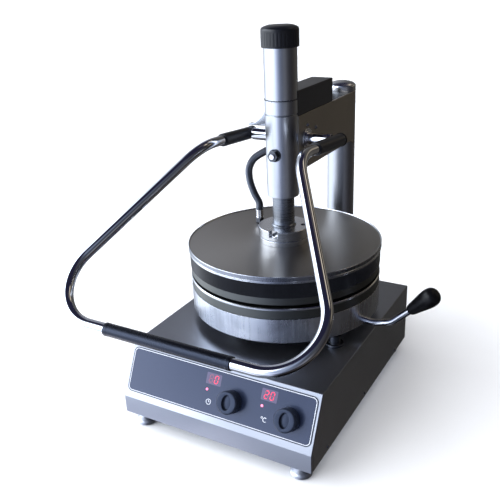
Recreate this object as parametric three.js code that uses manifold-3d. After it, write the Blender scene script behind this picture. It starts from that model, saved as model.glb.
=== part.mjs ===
// Countertop pizza press: a lever turns a pinion, the pinion drives a toothed ram down,
// and the heated upper plate presses dough on a heated lower plate that swings out.
// Millimetres, +Z up. The model is built about the ram axis, standing on z = 0, and the whole
// group is then moved so that the origin lies under the middle of the footprint.

import * as THREE from 'three';
import { mergeVertices } from 'three/addons/utils/BufferGeometryUtils.js';
import Module from 'manifold-3d';

const wasm = await Module();
wasm.setup();

// Fits and facets
const seat = 0.3; // gap where one piece rests on another or passes through it
const overrun = 4; // how far a cutter runs past the piece it cuts
const round = 48; // facets round the plates
const medium = 32; // round the tubes
const fine = 20; // round bearings and knobs
const small = 14;
const frameSamples = 400;
const degree = Math.PI / 180;

// Case: folded sheet, open below
const caseWidth = 420;
const frontReach = 321;
const slopeTopReach = 270.5;
const rearReach = 214;
const footHeight = 30;
const railHeight = 38;
const caseHeight = 138;
const sheet = 1.5;
const foldRadius = 3.5;
const panSheet = 2;
const panLip = 14;
const deckZ = footHeight + caseHeight;

// Heights with the press shut, each from the piece that carries it
const shellStand = 21.7;
const shellHeight = 53.3;
const lowerPlateRise = 23.5;
const pressGap = 6;
const upperThickness = 16;
const bandHeight = 30.5;
const coverHeight = 14.5;
const coverSink = 4.3;
const hubRise = 10;
const flangeThickness = 19.5;
const ramReach = 177; // from the flange's top to the pinion's axis
const cheekDrop = 62;
const cheekRise = 50.8;
const tubeDrop = 111.3;
const tubeRise = 5.6;
const collarHeight = 28.5;
const springTubeLength = 134.7;
const capWall = 4;
const capCrown = 6.5;
const capSkirt = 34.5;
const rodRise = 150;
const guideDrop = 21;
const hoseGlandDrop = 37;
const ferruleRise = 28.5;
const gripDrop = 240;
const columnLift = 4;
const saddleLift = 10;
const saddleDrop = 8;
const leverLift = 9.5;
const leverBendRise = 13.8;
const leverTipRise = 102.8;
const shellBottom = deckZ + shellStand;
const shellTop = shellBottom + shellHeight;
const lowerTop = shellTop + lowerPlateRise;
const upperBottom = lowerTop + pressGap;
const bandTop = upperBottom + upperThickness + bandHeight;
const coverTop = bandTop + coverHeight;
const coverDish = coverTop - coverSink;
const flangeBottom = coverTop + hubRise;
const flangeTop = flangeBottom + flangeThickness;
const ferruleTop = coverTop + ferruleRise;
const shaftZ = flangeTop + ramReach;
const cheekBottom = shaftZ - cheekDrop;
const cheekTop = shaftZ + cheekRise;
const columnFoot = footHeight + columnLift;
const columnTop = cheekTop - seat;
const saddleBottom = footHeight + saddleLift;
const saddleTop = deckZ - saddleDrop;
const tubeBottom = shaftZ - tubeDrop;
const tubeTop = cheekTop + tubeRise;
const collarTop = tubeTop + seat + collarHeight;
const capTop = collarTop + seat + springTubeLength + seat + capWall;
const capShoulder = capTop - capCrown;
const capBottom = capShoulder - capSkirt;
const rodTop = shaftZ + rodRise;
const guideZ = shaftZ - guideDrop;
const hoseGlandZ = shaftZ - hoseGlandDrop;
const gripZ = shaftZ - gripDrop;
const leverZ = shellBottom + leverLift;
const leverCornerZ = leverZ + leverBendRise;
const leverEndZ = leverZ + leverTipRise;

// Radii of the plates and of what goes round them
const plateRadius = 201;
const lipStep = 1; // how far shell, band and lip stand out past the plates
const coverLap = 2;
const bandRadius = plateRadius + lipStep;
const shellRadius = plateRadius + lipStep;
const coverRadius = bandRadius + coverLap;

// Feet
const footRadius = 16.5;
const footCupRadius = 15;
const footPadHeight = 9;
const footRim = 2.5;
const footStemRadius = 7;
const footX = 178;
const footFrontY = -296;
const footRearY = 186;

// Control panel on the slope; the distances run from the middle and down from the deck's edge
const labelHalfWidth = 205;
const labelTop = 7.5;
const labelBottom = 98.5;
const labelThickness = 0.8;
const labelCorner = 11;
const groupSpacing = 120;
const timerKnobX = 35.5;
const knobDown = 60;
const displayX = -10.6;
const displayDown = 28.7;
const displayWidth = 33;
const displayHeight = 22;
const displayCorner = 1.5;
const lampX = -21.6;
const lampDown = 50.4;
const lampRadius = 2.6;
const lampDome = 1.2;
const knobRadius = 22;
const knobHeight = 21;
const knobSkirt = 4;
const knobTaper = 1.5;
const knobEdge = 2.5;
const recessWidth = 13;
const recessLength = 29;
const recessDepth = 6;
const recessStep = 4;
const knobStandOff = 2;
const spindleRadius = 3;
const spindleBite = 12;
const controlBody = 17;
const threadRadius = 4.5;
const threadStandOff = 1.2;
const boardMargin = 53; // beyond the middles of the two control groups
const boardWidth = groupSpacing + 2 * boardMargin;
const boardHeight = 74;
const boardThickness = 1.6;
const boardDrop = 24;
const boardPostRadius = 4;
const boardPostInset = 9;

// Cable gland in the rear wall
const glandX = -120;
const glandZ = 66;
const glandNutRadius = 13;
const glandNutLength = 9;
const glandDomeRadius = 10.5;
const glandDomeLength = 14;
const glandThreadRadius = 9;
const glandThreadLength = 9;
const glandBore = 4.5;

// Column behind the case, and the saddle that carries it
const columnY = 310;
const columnRadius = 32.5;
const columnWall = 3.5;
const columnDome = 23;
const columnCapBand = 11;
const columnPlug = 16;
const saddleWidth = 104;
const saddlePlate = 6;
const saddleWeb = 8;
const saddleBody = 54;

// Arm: two cheeks tangent to the column and to the ram tube
const cheekHalf = 33.5;
const cheekSheet = 5;
const cheekNose = 8;
const cheekFillet = 12;
const webSheet = 5;
const boxWidth = 50;
const boxHeight = 50;
const boxFront = 4;
const boxRear = 178;
const boxEdge = 1.5;

// Ram tube, collar, spring tube and top cap
const tubeRadius = 33.2;
const tubeStep = 25;
const tubeStepDepth = 0.5;
const grooveDepth = 1;
const grooveHeight = 1.1;
const springTubeRadius = 32.8;
const springTubeWall = 3;
const capRadius = 37;
const capFlatShare = 0.62;

// Ram
const rodRadius = 22.8;
const rackModule = 2;
const pinionTeeth = 24;
const pinionFace = 24;
const pressureAngle = 20 * degree;
const backlash = 0.3;
const rackTeeth = 16;
const rackBelow = 9.5; // teeth of the rack below the pinion's axis when the press is shut
const tipShare = 1;
const rootShare = 1.25;
const flangeRadius = 53.7;
const flangeEdge = 1.5;
const flangeScrewRadius = 4.5;
const flangeScrewCircle = 40;
const flangeScrews = 2;
const flangeScrewPitch = 90 * degree;
const flangeScrewAngle = 18.4 * degree;
const notchWidth = 20;
const notchDepth = 9;
const notchHeight = 13;
const notchAngle = -88 * degree;
const hubRadius = 52;
const hubFoot = 40;
const springNutRadius = 28.8;
const springNutHeight = 8;
const springWire = 1.75;
const springMean = 27.2;
const springTurns = 8;
const springSides = 5;
const gapPointsPerTurn = 48;
const springSteps = 8;
const guideTip = 4;
const guideShank = 6;
const guideNutFlat = 22;
const guideNutLength = 9;
const guideStub = 5;
const washerRadius = 13;
const washerThickness = 2;
const keyDepth = 5;
const keyEnd = 2;
const windowEase = 3;

// Pinion shaft and its bearings
const shaftY = 42;
const shaftRadius = 9.7;
const bearingRadius = 14;
const bearingFlange = 21;
const bearingEase = 1;
const bearingFlangeThickness = 3.6;
const ringRadius = 16.6;
const ringThickness = 3;
const hubSleeveRadius = 12.4;

// Handle
const socketX = 102;
const socketTilt = 4.6 * degree;
const socketRadius = 13;
const socketFront = 106;
const socketRear = 24;
const socketCap = 10;
const socketCapStep = 0.8;
const socketBite = 12;
const barRadius = 10;
const barStart = 24;
const shoulderReach = 186;
const gripReach = 437;
const cornerX = 322;
const shoulderBend = 104;
const cornerBend = 96;
const barSides = 10;
const barSteps = 52;
const gripHalf = 127;
const gripWall = 1.6;
const gripEdge = 1;
const handleTravel = 90 * degree;
const ramTravel = handleTravel * rackModule * pinionTeeth / 2;

// Stop bracket beside the left cheek
const stopReach = 110;
const stopRoot = 43;
const stopY = 57.2;
const stopDepth = 14;
const stopSheet = 3;
const stopGap = 0.8;
const stopArc = 44;
const stopPullShare = 0.6;

// Upper plate
const plateChamfer = 1.5;
const bandWall = 1.5;
const coverRise = 1.8;
const coverSheet = 1.5;
const rimWidth = 5;
const rimBead = 3;
const rimGroove = 0.9;
const heaterRadius = 125;
const heaterBar = 8;
const heaterGap = 26;

// Lower plate
const shellSheet = 2;
const shellFold = 3;
const lipHeight = 4.5;
const spigotDepth = 8;
const spigotStep = 4;

// Swing pivot and glide pads on the deck
const pivotInset = 41.5; // from the shell's side
const pivotBack = 98; // from the shell's front
const pivotX = shellRadius - pivotInset;
const pivotY = -shellRadius + pivotBack;
const pivotFlange = 18.2;
const pivotFlangeHeight = 5;
const pivotBoss = 12;
const pivotPin = 8;
const pivotPinTop = 22;
const glideRadius = 14;
const glidePlaces = [[-60, -120], [-40, 96]];

// Side lever
const leverAngle = -11 * degree;
const leverRadius = 7;
const leverInside = 18;
const leverRise = 223;
const leverCorner = 262;
const leverBends = [60, 55];
const leverSteps = 20;
const leverEnd = 352;
const leverKnobLength = 71;
const leverKnobLarge = 18.4;
const leverKnobShares = [
  [0, 0.54], [0.04, 0.6], [0.35, 0.8], [0.62, 0.97], [0.74, 1], [0.88, 0.92], [0.96, 0.68], [1, 0.32],
];
const leverBiteShare = 0.55;

// Hose to the upper plate
const hoseRadius = 7;
const hoseBore = 4.6;
const hoseRib = 0.7;
const hosePitch = 3.8;
const hoseY = 66;
const hoseGlandRadius = 10;
const hoseGlandLength = 13;
const hoseRoute = [[-84, 492], [-106, 476], [-118, 453], [-117, 426], [-107, 398]];
const hoseFootX = 95;
const ferruleRadius = 8;
const ferruleBore = 5;
const hoseNutFlat = 17;
const hoseNutHeight = 11;
const hoseSides = 8;
const hoseBoreEvery = 5;

// Materials
function finish(color, roughness, metalness) {
  return new THREE.MeshStandardMaterial({ color, roughness, metalness });
}
const brushedSteel = () => finish(0xb4b7bd, 0.38, 0.9);
const polishedSteel = () => finish(0xc9ccd4, 0.16, 1);
const chrome = () => finish(0xd6d9e0, 0.08, 1);
const castAluminium = () => finish(0x6f7178, 0.55, 0.7);
const blackEnamel = () => finish(0x15161a, 0.22, 0.1);
const blackPlastic = () => finish(0x17171a, 0.45, 0);
const blackRubber = () => finish(0x141416, 0.75, 0);
const bluePanel = () => finish(0x5a6478, 0.35, 0);
const redLens = () => finish(0xb01820, 0.2, 0);
const zincSteel = () => finish(0x8d9096, 0.45, 0.8);
const whitePlastic = () => finish(0xe4e2da, 0.5, 0);
const boardGreen = () => finish(0x2c5a3c, 0.6, 0);

// Solids from closed meshes
function solidOf(geometry) {
  const bare = geometry.clone();
  bare.deleteAttribute('normal');
  bare.deleteAttribute('uv');
  const merged = mergeVertices(bare, 1e-4);
  const position = merged.attributes.position.array;
  const corners = merged.index.array;
  const kept = [];
  for (let i = 0; i < corners.length; i += 3) {
    const [a, b, c] = [corners[i], corners[i + 1], corners[i + 2]];
    if (a !== b && b !== c && c !== a) kept.push(a, b, c);
  }
  const mesh = new wasm.Mesh({
    numProp: 3,
    vertProperties: new Float32Array(position),
    triVerts: new Uint32Array(kept),
  });
  return new wasm.Manifold(mesh);
}

function geometryOf(solid) {
  const mesh = solid.getMesh();
  const geometry = new THREE.BufferGeometry();
  geometry.setAttribute('position', new THREE.BufferAttribute(new Float32Array(mesh.vertProperties), 3));
  geometry.setIndex(new THREE.BufferAttribute(new Uint32Array(mesh.triVerts), 1));
  geometry.computeVertexNormals();
  return geometry;
}

function cut(solid, ...cutters) {
  return cutters.reduce((left, cutter) => left.subtract(cutter), solid);
}

function join(solid, ...others) {
  return others.reduce((left, other) => left.add(other), solid);
}

// A turned solid about Z; the profile is [radius, z] pairs, going up on the outside
function turned(profile, facets = round) {
  const points = profile.map(([r, z]) => new THREE.Vector2(r, z));
  const geometry = new THREE.LatheGeometry(points, facets);
  geometry.rotateX(Math.PI / 2);
  const solid = solidOf(geometry);
  return solid.volume() < 0 ? solidOf(flipped(geometry)) : solid;
}

function flipped(geometry) {
  const index = geometry.index.array;
  for (let i = 0; i < index.length; i += 3) {
    [index[i], index[i + 1]] = [index[i + 1], index[i]];
  }
  return geometry;
}

function ring(inner, outer, low, high, facets = round) {
  return turned([[inner, low], [outer, low], [outer, high], [inner, high], [inner, low]], facets);
}

function rod(radius, low, high, facets = small) {
  return turned([[0, low], [radius, low], [radius, high], [0, high]], facets);
}

// A box by its lowest and highest corners
function block([x0, y0, z0], [x1, y1, z1]) {
  const geometry = new THREE.BoxGeometry(x1 - x0, y1 - y0, z1 - z0);
  geometry.translate((x0 + x1) / 2, (y0 + y1) / 2, (z0 + z1) / 2);
  return solidOf(geometry);
}

// An outline drawn in the Y, Z plane and extruded along X between two places
function sideExtrusion(outline, x0, x1, segments = 3) {
  const geometry = new THREE.ExtrudeGeometry(outline, {
    depth: x1 - x0, bevelEnabled: false, curveSegments: segments,
  });
  // the outline's x becomes Y, its y becomes Z and the depth becomes X
  const turn = new THREE.Matrix4().makeBasis(
    new THREE.Vector3(0, 1, 0), new THREE.Vector3(0, 0, 1), new THREE.Vector3(1, 0, 0));
  geometry.applyMatrix4(turn);
  geometry.translate(x0, 0, 0);
  return solidOf(geometry);
}

function upExtrusion(outline, z0, z1, segments = 3) {
  const geometry = new THREE.ExtrudeGeometry(outline, {
    depth: z1 - z0, bevelEnabled: false, curveSegments: segments,
  });
  geometry.translate(0, 0, z0);
  return solidOf(geometry);
}

function placed(solid, matrix) {
  const geometry = geometryOf(solid);
  geometry.applyMatrix4(matrix);
  return solidOf(geometry);
}

function moved(solid, x, y, z) {
  return placed(solid, new THREE.Matrix4().makeTranslation(x, y, z));
}

// Turns a solid built about Z so that its axis runs along X
function alongX(solid) {
  return placed(solid, new THREE.Matrix4().makeRotationY(Math.PI / 2));
}

// Turns a solid built about Z so that its top faces -Y
function facingFront(solid) {
  return placed(solid, new THREE.Matrix4().makeRotationX(Math.PI / 2));
}

// A closed outline with rounded corners, from its corner points
function roundedOutline(points, radius) {
  const outline = new THREE.Shape();
  points.forEach((point, i) => {
    const before = points[(i + points.length - 1) % points.length];
    const after = points[(i + 1) % points.length];
    const corner = new THREE.Vector2(...point);
    const back = new THREE.Vector2(...before).sub(corner);
    const ahead = new THREE.Vector2(...after).sub(corner);
    const reach = Math.min(radius, back.length() / 2, ahead.length() / 2);
    const start = back.normalize().multiplyScalar(reach).add(corner);
    const end = ahead.normalize().multiplyScalar(reach).add(corner);
    if (i === 0) outline.moveTo(start.x, start.y);
    else outline.lineTo(start.x, start.y);
    outline.quadraticCurveTo(corner.x, corner.y, end.x, end.y);
  });
  outline.closePath();
  return outline;
}

function rectangle(width, height) {
  const [x, y] = [width / 2, height / 2];
  return [[-x, -y], [x, -y], [x, y], [-x, y]];
}

function hexagon(flat) {
  const outline = new THREE.Shape();
  for (let i = 0; i < 6; i += 1) {
    const angle = (i + 0.5) * Math.PI / 3;
    const reach = flat / Math.sqrt(3);
    outline[i === 0 ? 'moveTo' : 'lineTo'](reach * Math.cos(angle), reach * Math.sin(angle));
  }
  outline.closePath();
  return outline;
}

// A path of straight legs with round bends, as three.js curves
function bentPath(corners, radii) {
  const path = new THREE.CurvePath();
  let from = corners[0];
  for (let i = 1; i < corners.length - 1; i += 1) {
    const back = corners[i - 1].clone().sub(corners[i]).normalize();
    const ahead = corners[i + 1].clone().sub(corners[i]).normalize();
    const turn = Math.PI - back.angleTo(ahead);
    const reach = radii[i - 1] * Math.tan(turn / 2);
    const start = corners[i].clone().addScaledVector(back, reach);
    const end = corners[i].clone().addScaledVector(ahead, reach);
    const pull = 4 / 3 * Math.tan(turn / 4) * radii[i - 1];
    path.add(new THREE.LineCurve3(from, start));
    path.add(new THREE.CubicBezierCurve3(start,
      start.clone().addScaledVector(back, -pull), end.clone().addScaledVector(ahead, -pull), end));
    from = end;
  }
  path.add(new THREE.LineCurve3(from, corners[corners.length - 1]));
  return path;
}

function tubeAlong(path, radius, sides, steps) {
  const section = new THREE.Shape();
  for (let i = 0; i < sides; i += 1) {
    const angle = i * 2 * Math.PI / sides;
    section[i === 0 ? 'moveTo' : 'lineTo'](radius * Math.cos(angle), radius * Math.sin(angle));
  }
  section.closePath();
  return solidOf(new THREE.ExtrudeGeometry(section, { steps, bevelEnabled: false, extrudePath: path }));
}

// The scene graph: one mesh for each piece
const press = new THREE.Group();

function add(name, solid, material, parent = press) {
  const mesh = new THREE.Mesh(geometryOf(solid), material);
  mesh.name = name;
  parent.add(mesh);
  return mesh;
}

// The slope carries its own group: x across, y up the slope, z out of it
const slopeRise = caseHeight - railHeight;
const slopeRun = frontReach - slopeTopReach;
const slopeTilt = Math.atan2(slopeRise, slopeRun);
const panel = new THREE.Group();
panel.position.set(0, -slopeTopReach, deckZ);
panel.rotation.x = slopeTilt;
press.add(panel);
panel.updateMatrixWorld(true);

function onPanel(solid) {
  return placed(solid, panel.matrixWorld);
}

function panelOpening(x, down, width, height) {
  const outline = roundedOutline(rectangle(width, height), displayCorner);
  return moved(upExtrusion(outline, -overrun, overrun), x, -down, 0);
}

function panelBore(x, down, radius) {
  return moved(rod(radius, -overrun, overrun), x, -down, 0);
}

const groups = [0, groupSpacing];

function panelCutters() {
  return groups.flatMap((shift) => [
    panelOpening(displayX + shift, displayDown, displayWidth + 2 * seat, displayHeight + 2 * seat),
    panelBore(timerKnobX + shift, knobDown, threadRadius + seat),
    panelBore(lampX + shift, lampDown, lampRadius + seat),
  ]);
}

function caseOutline(inset) {
  // each face of the sheet moves in by the same thickness
  const slopeShift = inset * (1 / Math.sin(slopeTilt) - 1 / Math.tan(slopeTilt));
  const bottom = inset > 0 ? footHeight - overrun : footHeight;
  const front = -frontReach + inset;
  const top = deckZ - inset;
  return [
    [front, bottom],
    [front, footHeight + railHeight - inset * Math.tan((Math.PI / 2 - slopeTilt) / 2)],
    [-slopeTopReach + slopeShift, top],
    [rearReach - inset, top],
    [rearReach - inset, bottom],
  ];
}

function makeCase() {
  const half = caseWidth / 2;
  const outside = sideExtrusion(roundedOutline(caseOutline(0), foldRadius), -half, half);
  const hollow = roundedOutline(caseOutline(sheet), foldRadius - sheet);
  const inside = sideExtrusion(hollow, -half + sheet, half - sheet);
  const cutters = panelCutters().map(onPanel);
  const glandBoreHole = facingFront(rod(glandThreadRadius + seat, -overrun, overrun));
  const glandHole = moved(glandBoreHole, glandX, rearReach, glandZ);
  add('case_shell', cut(outside, inside, ...cutters, glandHole), brushedSteel());
}

function makePan() {
  const half = caseWidth / 2 - sheet - seat;
  const front = -frontReach + sheet + seat;
  const rear = rearReach - sheet - seat;
  const tray = block([-half, front, footHeight], [half, rear, footHeight + panLip]);
  const hollow = block([-half + panSheet, front + panSheet, footHeight + panSheet],
    [half - panSheet, rear - panSheet, footHeight + panLip + overrun]);
  add('base_pan', cut(tray, hollow), zincSteel());
}

function makeFeet() {
  const profile = [
    [0, 0], [footRadius - footRim, 0], [footRadius, footRim], [footRadius, footPadHeight],
    [footCupRadius, footPadHeight + footRim], [footStemRadius, footPadHeight + footRim],
    [footStemRadius, footHeight - seat], [0, footHeight - seat],
  ];
  const places = {
    foot_front_left: [-footX, footFrontY], foot_front_right: [footX, footFrontY],
    foot_rear_left: [-footX, footRearY], foot_rear_right: [footX, footRearY],
  };
  for (const [name, [x, y]] of Object.entries(places)) {
    add(name, turned(profile, small), blackRubber()).position.set(x, y, 0);
  }
}

function makeLabel() {
  const height = labelBottom - labelTop;
  const sheetOutline = roundedOutline(rectangle(2 * labelHalfWidth, height), labelCorner);
  const plate = upExtrusion(sheetOutline, seat, seat + labelThickness);
  const lowered = moved(plate, 0, -(labelTop + labelBottom) / 2, 0);
  add('control_label', cut(lowered, ...panelCutters()), bluePanel(), panel);
}

function makeDisplay(name, x) {
  const outline = roundedOutline(rectangle(displayWidth, displayHeight), displayCorner);
  const lens = upExtrusion(outline, -boardDrop + seat, seat + labelThickness);
  add(name, lens, redLens(), panel).position.set(x, -displayDown, 0);
}

function makeLamp(name, x) {
  const top = seat + labelThickness;
  const lens = turned([
    [0, -boardDrop + seat], [lampRadius, -boardDrop + seat], [lampRadius, top],
    [lampRadius * Math.SQRT1_2, top + lampDome * Math.SQRT1_2], [0, top + lampDome],
  ], small);
  add(name, lens, redLens(), panel).position.set(x, -lampDown, 0);
}

// A control knob with a sunk finger bar across its face
function makeKnob(name, x) {
  const foot = seat + labelThickness + knobStandOff;
  const top = foot + knobHeight;
  const body = turned([
    [0, foot], [knobRadius, foot], [knobRadius, foot + knobSkirt], [knobRadius - knobTaper, top - knobEdge],
    [knobRadius - knobTaper - knobEdge, top], [0, top],
  ], fine);
  const oval = new THREE.Shape().absellipse(0, 0, recessWidth / 2, recessLength / 2, 0, 2 * Math.PI);
  const recess = upExtrusion(oval, top - recessDepth, top + overrun, small / 4);
  const bar = block([-recessStep / 2, -recessLength / 2 + recessStep, top - recessDepth - seat],
    [recessStep / 2, recessLength / 2 - recessStep, top - seat]);
  const bore = rod(spindleRadius + seat, foot - overrun, foot + spindleBite, small);
  add(name, cut(join(cut(body, recess), bar), bore), blackPlastic(), panel).position.set(x, -knobDown, 0);
}

function makeControl(name, x) {
  const back = -sheet - seat;
  const half = controlBody / 2;
  const body = block([-half, -half, -boardDrop + seat], [half, half, back]);
  const nose = rod(threadRadius, back - overrun, seat + labelThickness + threadStandOff, small);
  const spindle = rod(spindleRadius, back - overrun,
    seat + labelThickness + knobStandOff + spindleBite - seat, small);
  add(name, join(body, nose, spindle), zincSteel(), panel).position.set(x, -knobDown, 0);
}

function makeBoard() {
  const middle = -(labelTop + labelBottom) / 2;
  const surface = -boardDrop;
  const centreX = (lampX + timerKnobX + groupSpacing) / 2;
  let board = block([-boardWidth / 2, middle - boardHeight / 2, surface - boardThickness],
    [boardWidth / 2, middle + boardHeight / 2, surface]);
  for (const sideX of [-1, 1]) {
    for (const sideY of [-1, 1]) {
      const x = sideX * (boardWidth / 2 - boardPostInset);
      const y = middle + sideY * (boardHeight / 2 - boardPostInset);
      const post = rod(boardPostRadius, surface - boardThickness, -sheet - seat, small);
      board = join(board, moved(post, x, y, 0));
    }
  }
  add('control_board', board, boardGreen(), panel).position.set(centreX, 0, 0);
}

function makeGland() {
  const nut = upExtrusion(hexagon(2 * glandNutRadius), seat, seat + glandNutLength);
  const end = glandNutLength + glandDomeLength;
  const dome = turned([
    [0, glandNutLength], [glandDomeRadius, glandNutLength],
    [glandDomeRadius, glandNutLength + glandDomeLength / 2], [glandDomeRadius * Math.SQRT1_2, end], [0, end],
  ], small);
  const thread = rod(glandThreadRadius, -glandThreadLength, glandNutLength, small);
  const bore = rod(glandBore, -glandThreadLength - overrun, end + overrun, small);
  const whole = placed(cut(join(nut, dome, thread), bore), new THREE.Matrix4().makeRotationX(-Math.PI / 2));
  add('cable_gland', whole, blackPlastic()).position.set(glandX, rearReach, glandZ);
}

function makeColumn() {
  const inner = columnRadius - columnWall;
  add('rear_column', ring(inner, columnRadius, columnFoot, columnTop, medium), brushedSteel())
    .position.set(0, columnY, 0);

  // domed cap with a band, plugged into the tube
  const low = columnTop + seat;
  const bandTopZ = low + columnCapBand;
  const dome = [];
  const steps = 4;
  for (let i = 0; i <= steps; i += 1) {
    const angle = i * Math.PI / 2 / steps;
    dome.push([columnRadius * Math.cos(angle), bandTopZ + (columnDome - columnCapBand) * Math.sin(angle)]);
  }
  dome[steps][0] = 0;
  const cap = turned([
    [0, low - columnPlug], [inner - seat, low - columnPlug], [inner - seat, low], [columnRadius, low],
    ...dome,
  ], medium);
  add('column_cap', cap, polishedSteel()).position.set(0, columnY, 0);

  const front = rearReach + seat;
  const plateHalf = saddleWidth / 2;
  const plate = block([-plateHalf, front, saddleBottom], [plateHalf, front + saddlePlate, saddleTop]);
  const body = block([-saddleBody / 2, front, saddleBottom], [saddleBody / 2, columnY, saddleTop]);
  const shaft = rod(columnRadius + seat, saddleBottom - overrun, saddleTop + overrun, medium);
  const hollow = block([-saddleBody / 2 + saddleWeb, front + saddlePlate, saddleBottom - overrun],
    [saddleBody / 2 - saddleWeb, columnY - columnRadius - saddleWeb, saddleTop + overrun]);
  add('column_saddle', cut(join(plate, body), hollow, moved(shaft, 0, columnY, 0)), brushedSteel());
}

// One cross bore through both cheeks and the sides of the tube
function bearingBore() {
  const reach = cheekHalf + overrun;
  return moved(alongX(rod(bearingRadius + seat, -reach, reach, fine)), 0, shaftY, shaftZ);
}

function makeArm() {
  const bottom = cheekBottom;
  const outline = new THREE.Shape();
  outline.moveTo(cheekNose, bottom);
  outline.lineTo(columnY - columnRadius + seat, bottom);
  outline.quadraticCurveTo(columnY - columnRadius + cheekFillet, bottom, columnY, bottom - cheekFillet);
  outline.lineTo(columnY, cheekTop);
  outline.lineTo(cheekNose, cheekTop);
  outline.closePath();
  const cutLow = bottom - overrun - cheekFillet;
  const tubeCut = rod(tubeRadius + seat, cutLow, collarTop + overrun, medium);
  const columnCut = moved(rod(columnRadius + seat, cutLow, columnTop + seat, medium), 0, columnY, 0);
  const hoseCut = moved(alongX(rod(hoseRadius + seat, -cheekHalf - overrun, 0)), 0, hoseY, hoseGlandZ);
  const inner = cheekHalf - cheekSheet;
  const right = sideExtrusion(outline, inner, cheekHalf);
  const left = sideExtrusion(outline, -cheekHalf, -inner);
  add('arm_cheek_right', cut(right, tubeCut, columnCut, bearingBore()), brushedSteel());
  add('arm_cheek_left', cut(left, tubeCut, columnCut, bearingBore(), hoseCut), brushedSteel());

  const web = block([-inner + seat, 0, bottom], [inner - seat, columnY, bottom + webSheet]);
  add('arm_web', cut(web, tubeCut, columnCut), brushedSteel());

  const boxRight = cheekHalf;
  const boxLow = cheekTop + seat;
  const plan = roundedOutline([
    [boxRight - boxWidth, boxFront], [boxRight, boxFront],
    [boxRight, boxRear], [boxRight - boxWidth, boxRear],
  ], boxEdge);
  add('switch_housing', cut(upExtrusion(plan, boxLow, boxLow + boxHeight), tubeCut,
    rod(tubeRadius + seat, collarTop, boxLow + boxHeight + overrun, medium)), blackPlastic());
}

// Bent bracket on the left cheek; the raised handle's socket comes to rest against its front
function makeStop() {
  const under = shaftZ + socketRadius / Math.cos(socketTilt) + stopGap;
  const root = -cheekHalf - seat;
  const top = cheekTop;
  const web = new THREE.Shape();
  web.moveTo(root, shaftZ + bearingFlange + stopGap);
  web.lineTo(-stopRoot, shaftZ + bearingFlange + stopGap);
  web.lineTo(-stopRoot, under);
  web.lineTo(-stopReach, under);
  web.lineTo(-stopReach, under + stopSheet);
  web.quadraticCurveTo(-stopReach + stopArc * stopPullShare, under + stopSheet, -stopReach + stopArc, top);
  web.lineTo(root, top);
  web.closePath();
  const standing = placed(upExtrusion(web, 0, stopSheet), new THREE.Matrix4().makeRotationX(Math.PI / 2));
  const upright = moved(standing, 0, stopY + stopSheet, 0);
  const foot = block([-stopReach, stopY, under], [-stopRoot, stopY + stopDepth, under + stopSheet]);
  add('stop_bracket', join(upright, foot), zincSteel());
}

function makeTubes() {
  const bore = rodRadius + seat;
  const turnedRadius = tubeRadius - tubeStepDepth;
  const grooveRadius = tubeRadius - grooveDepth;
  const lower = turned([
    [bore, tubeBottom], [turnedRadius - tubeStepDepth, tubeBottom], [turnedRadius, tubeBottom + grooveHeight],
    [turnedRadius, tubeBottom + tubeStep], [tubeRadius, tubeBottom + tubeStep],
    [tubeRadius, tubeTop - grooveHeight], [grooveRadius, tubeTop], [bore, tubeTop], [bore, tubeBottom],
  ], medium);
  const windowHalf = pinionFace / 2 + windowEase;
  const tip = rackModule * (pinionTeeth / 2 + tipShare);
  const window = block([-windowHalf, 0, shaftZ - tip - windowEase],
    [windowHalf, tubeRadius + overrun, shaftZ + tip + windowEase]);
  const guideHole = moved(facingFront(rod(guideShank + seat, 0, tubeRadius + overrun)), 0, 0, guideZ);
  add('ram_tube', cut(lower, window, guideHole, bearingBore()), brushedSteel());

  const collar = turned([
    [bore, tubeTop + seat], [grooveRadius, tubeTop + seat], [tubeRadius, tubeTop + seat + grooveHeight],
    [tubeRadius, collarTop], [bore, collarTop], [bore, tubeTop + seat],
  ], medium);
  add('tube_collar', collar, brushedSteel());

  const inner = springTubeRadius - springTubeWall;
  const tube = ring(inner, springTubeRadius, collarTop + seat, capTop - capWall - seat, medium);
  add('spring_tube', tube, brushedSteel());

  const flat = capRadius * capFlatShare;
  const shell = turned([
    [springTubeRadius + seat, capBottom], [capRadius, capBottom], [capRadius, capShoulder - capWall],
    [capRadius - capWall / 3, capShoulder], [flat, capTop], [0, capTop], [0, capTop - capWall],
    [springTubeRadius + seat, capTop - capWall], [springTubeRadius + seat, capBottom],
  ], medium);
  add('top_cap', shell, blackPlastic());
}

// Rack teeth cut across the back of the rod
function rackCutter() {
  const pitchY = shaftY - rackModule * pinionTeeth / 2;
  const pitch = Math.PI * rackModule;
  const tipY = pitchY + rackModule * tipShare;
  const rootY = pitchY - rackModule * rootShare;
  const half = pitch / 4 - backlash / 4;
  const slant = Math.tan(pressureAngle);
  const tipHalf = half - rackModule * tipShare * slant;
  const rootHalf = half + rackModule * rootShare * slant;
  const lowest = shaftZ - rackBelow * pitch;
  const outline = new THREE.Shape();
  outline.moveTo(rodRadius + overrun, lowest);
  outline.lineTo(tipY, lowest);
  for (let i = 0; i < rackTeeth; i += 1) {
    // the pinion has a tooth on the axis line, so the rack's teeth stand half a pitch off it
    const middle = lowest + (i + 1 / 2) * pitch;
    const spaceLow = middle - pitch / 2 + tipHalf;
    outline.lineTo(tipY, spaceLow);
    outline.lineTo(rootY, middle - pitch / 2 + rootHalf);
    outline.lineTo(rootY, middle + pitch / 2 - rootHalf);
    outline.lineTo(tipY, middle + pitch / 2 - tipHalf);
  }
  outline.lineTo(tipY, lowest + rackTeeth * pitch);
  outline.lineTo(rodRadius + overrun, lowest + rackTeeth * pitch);
  outline.closePath();
  return sideExtrusion(outline, -rodRadius - overrun, rodRadius + overrun);
}

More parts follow.
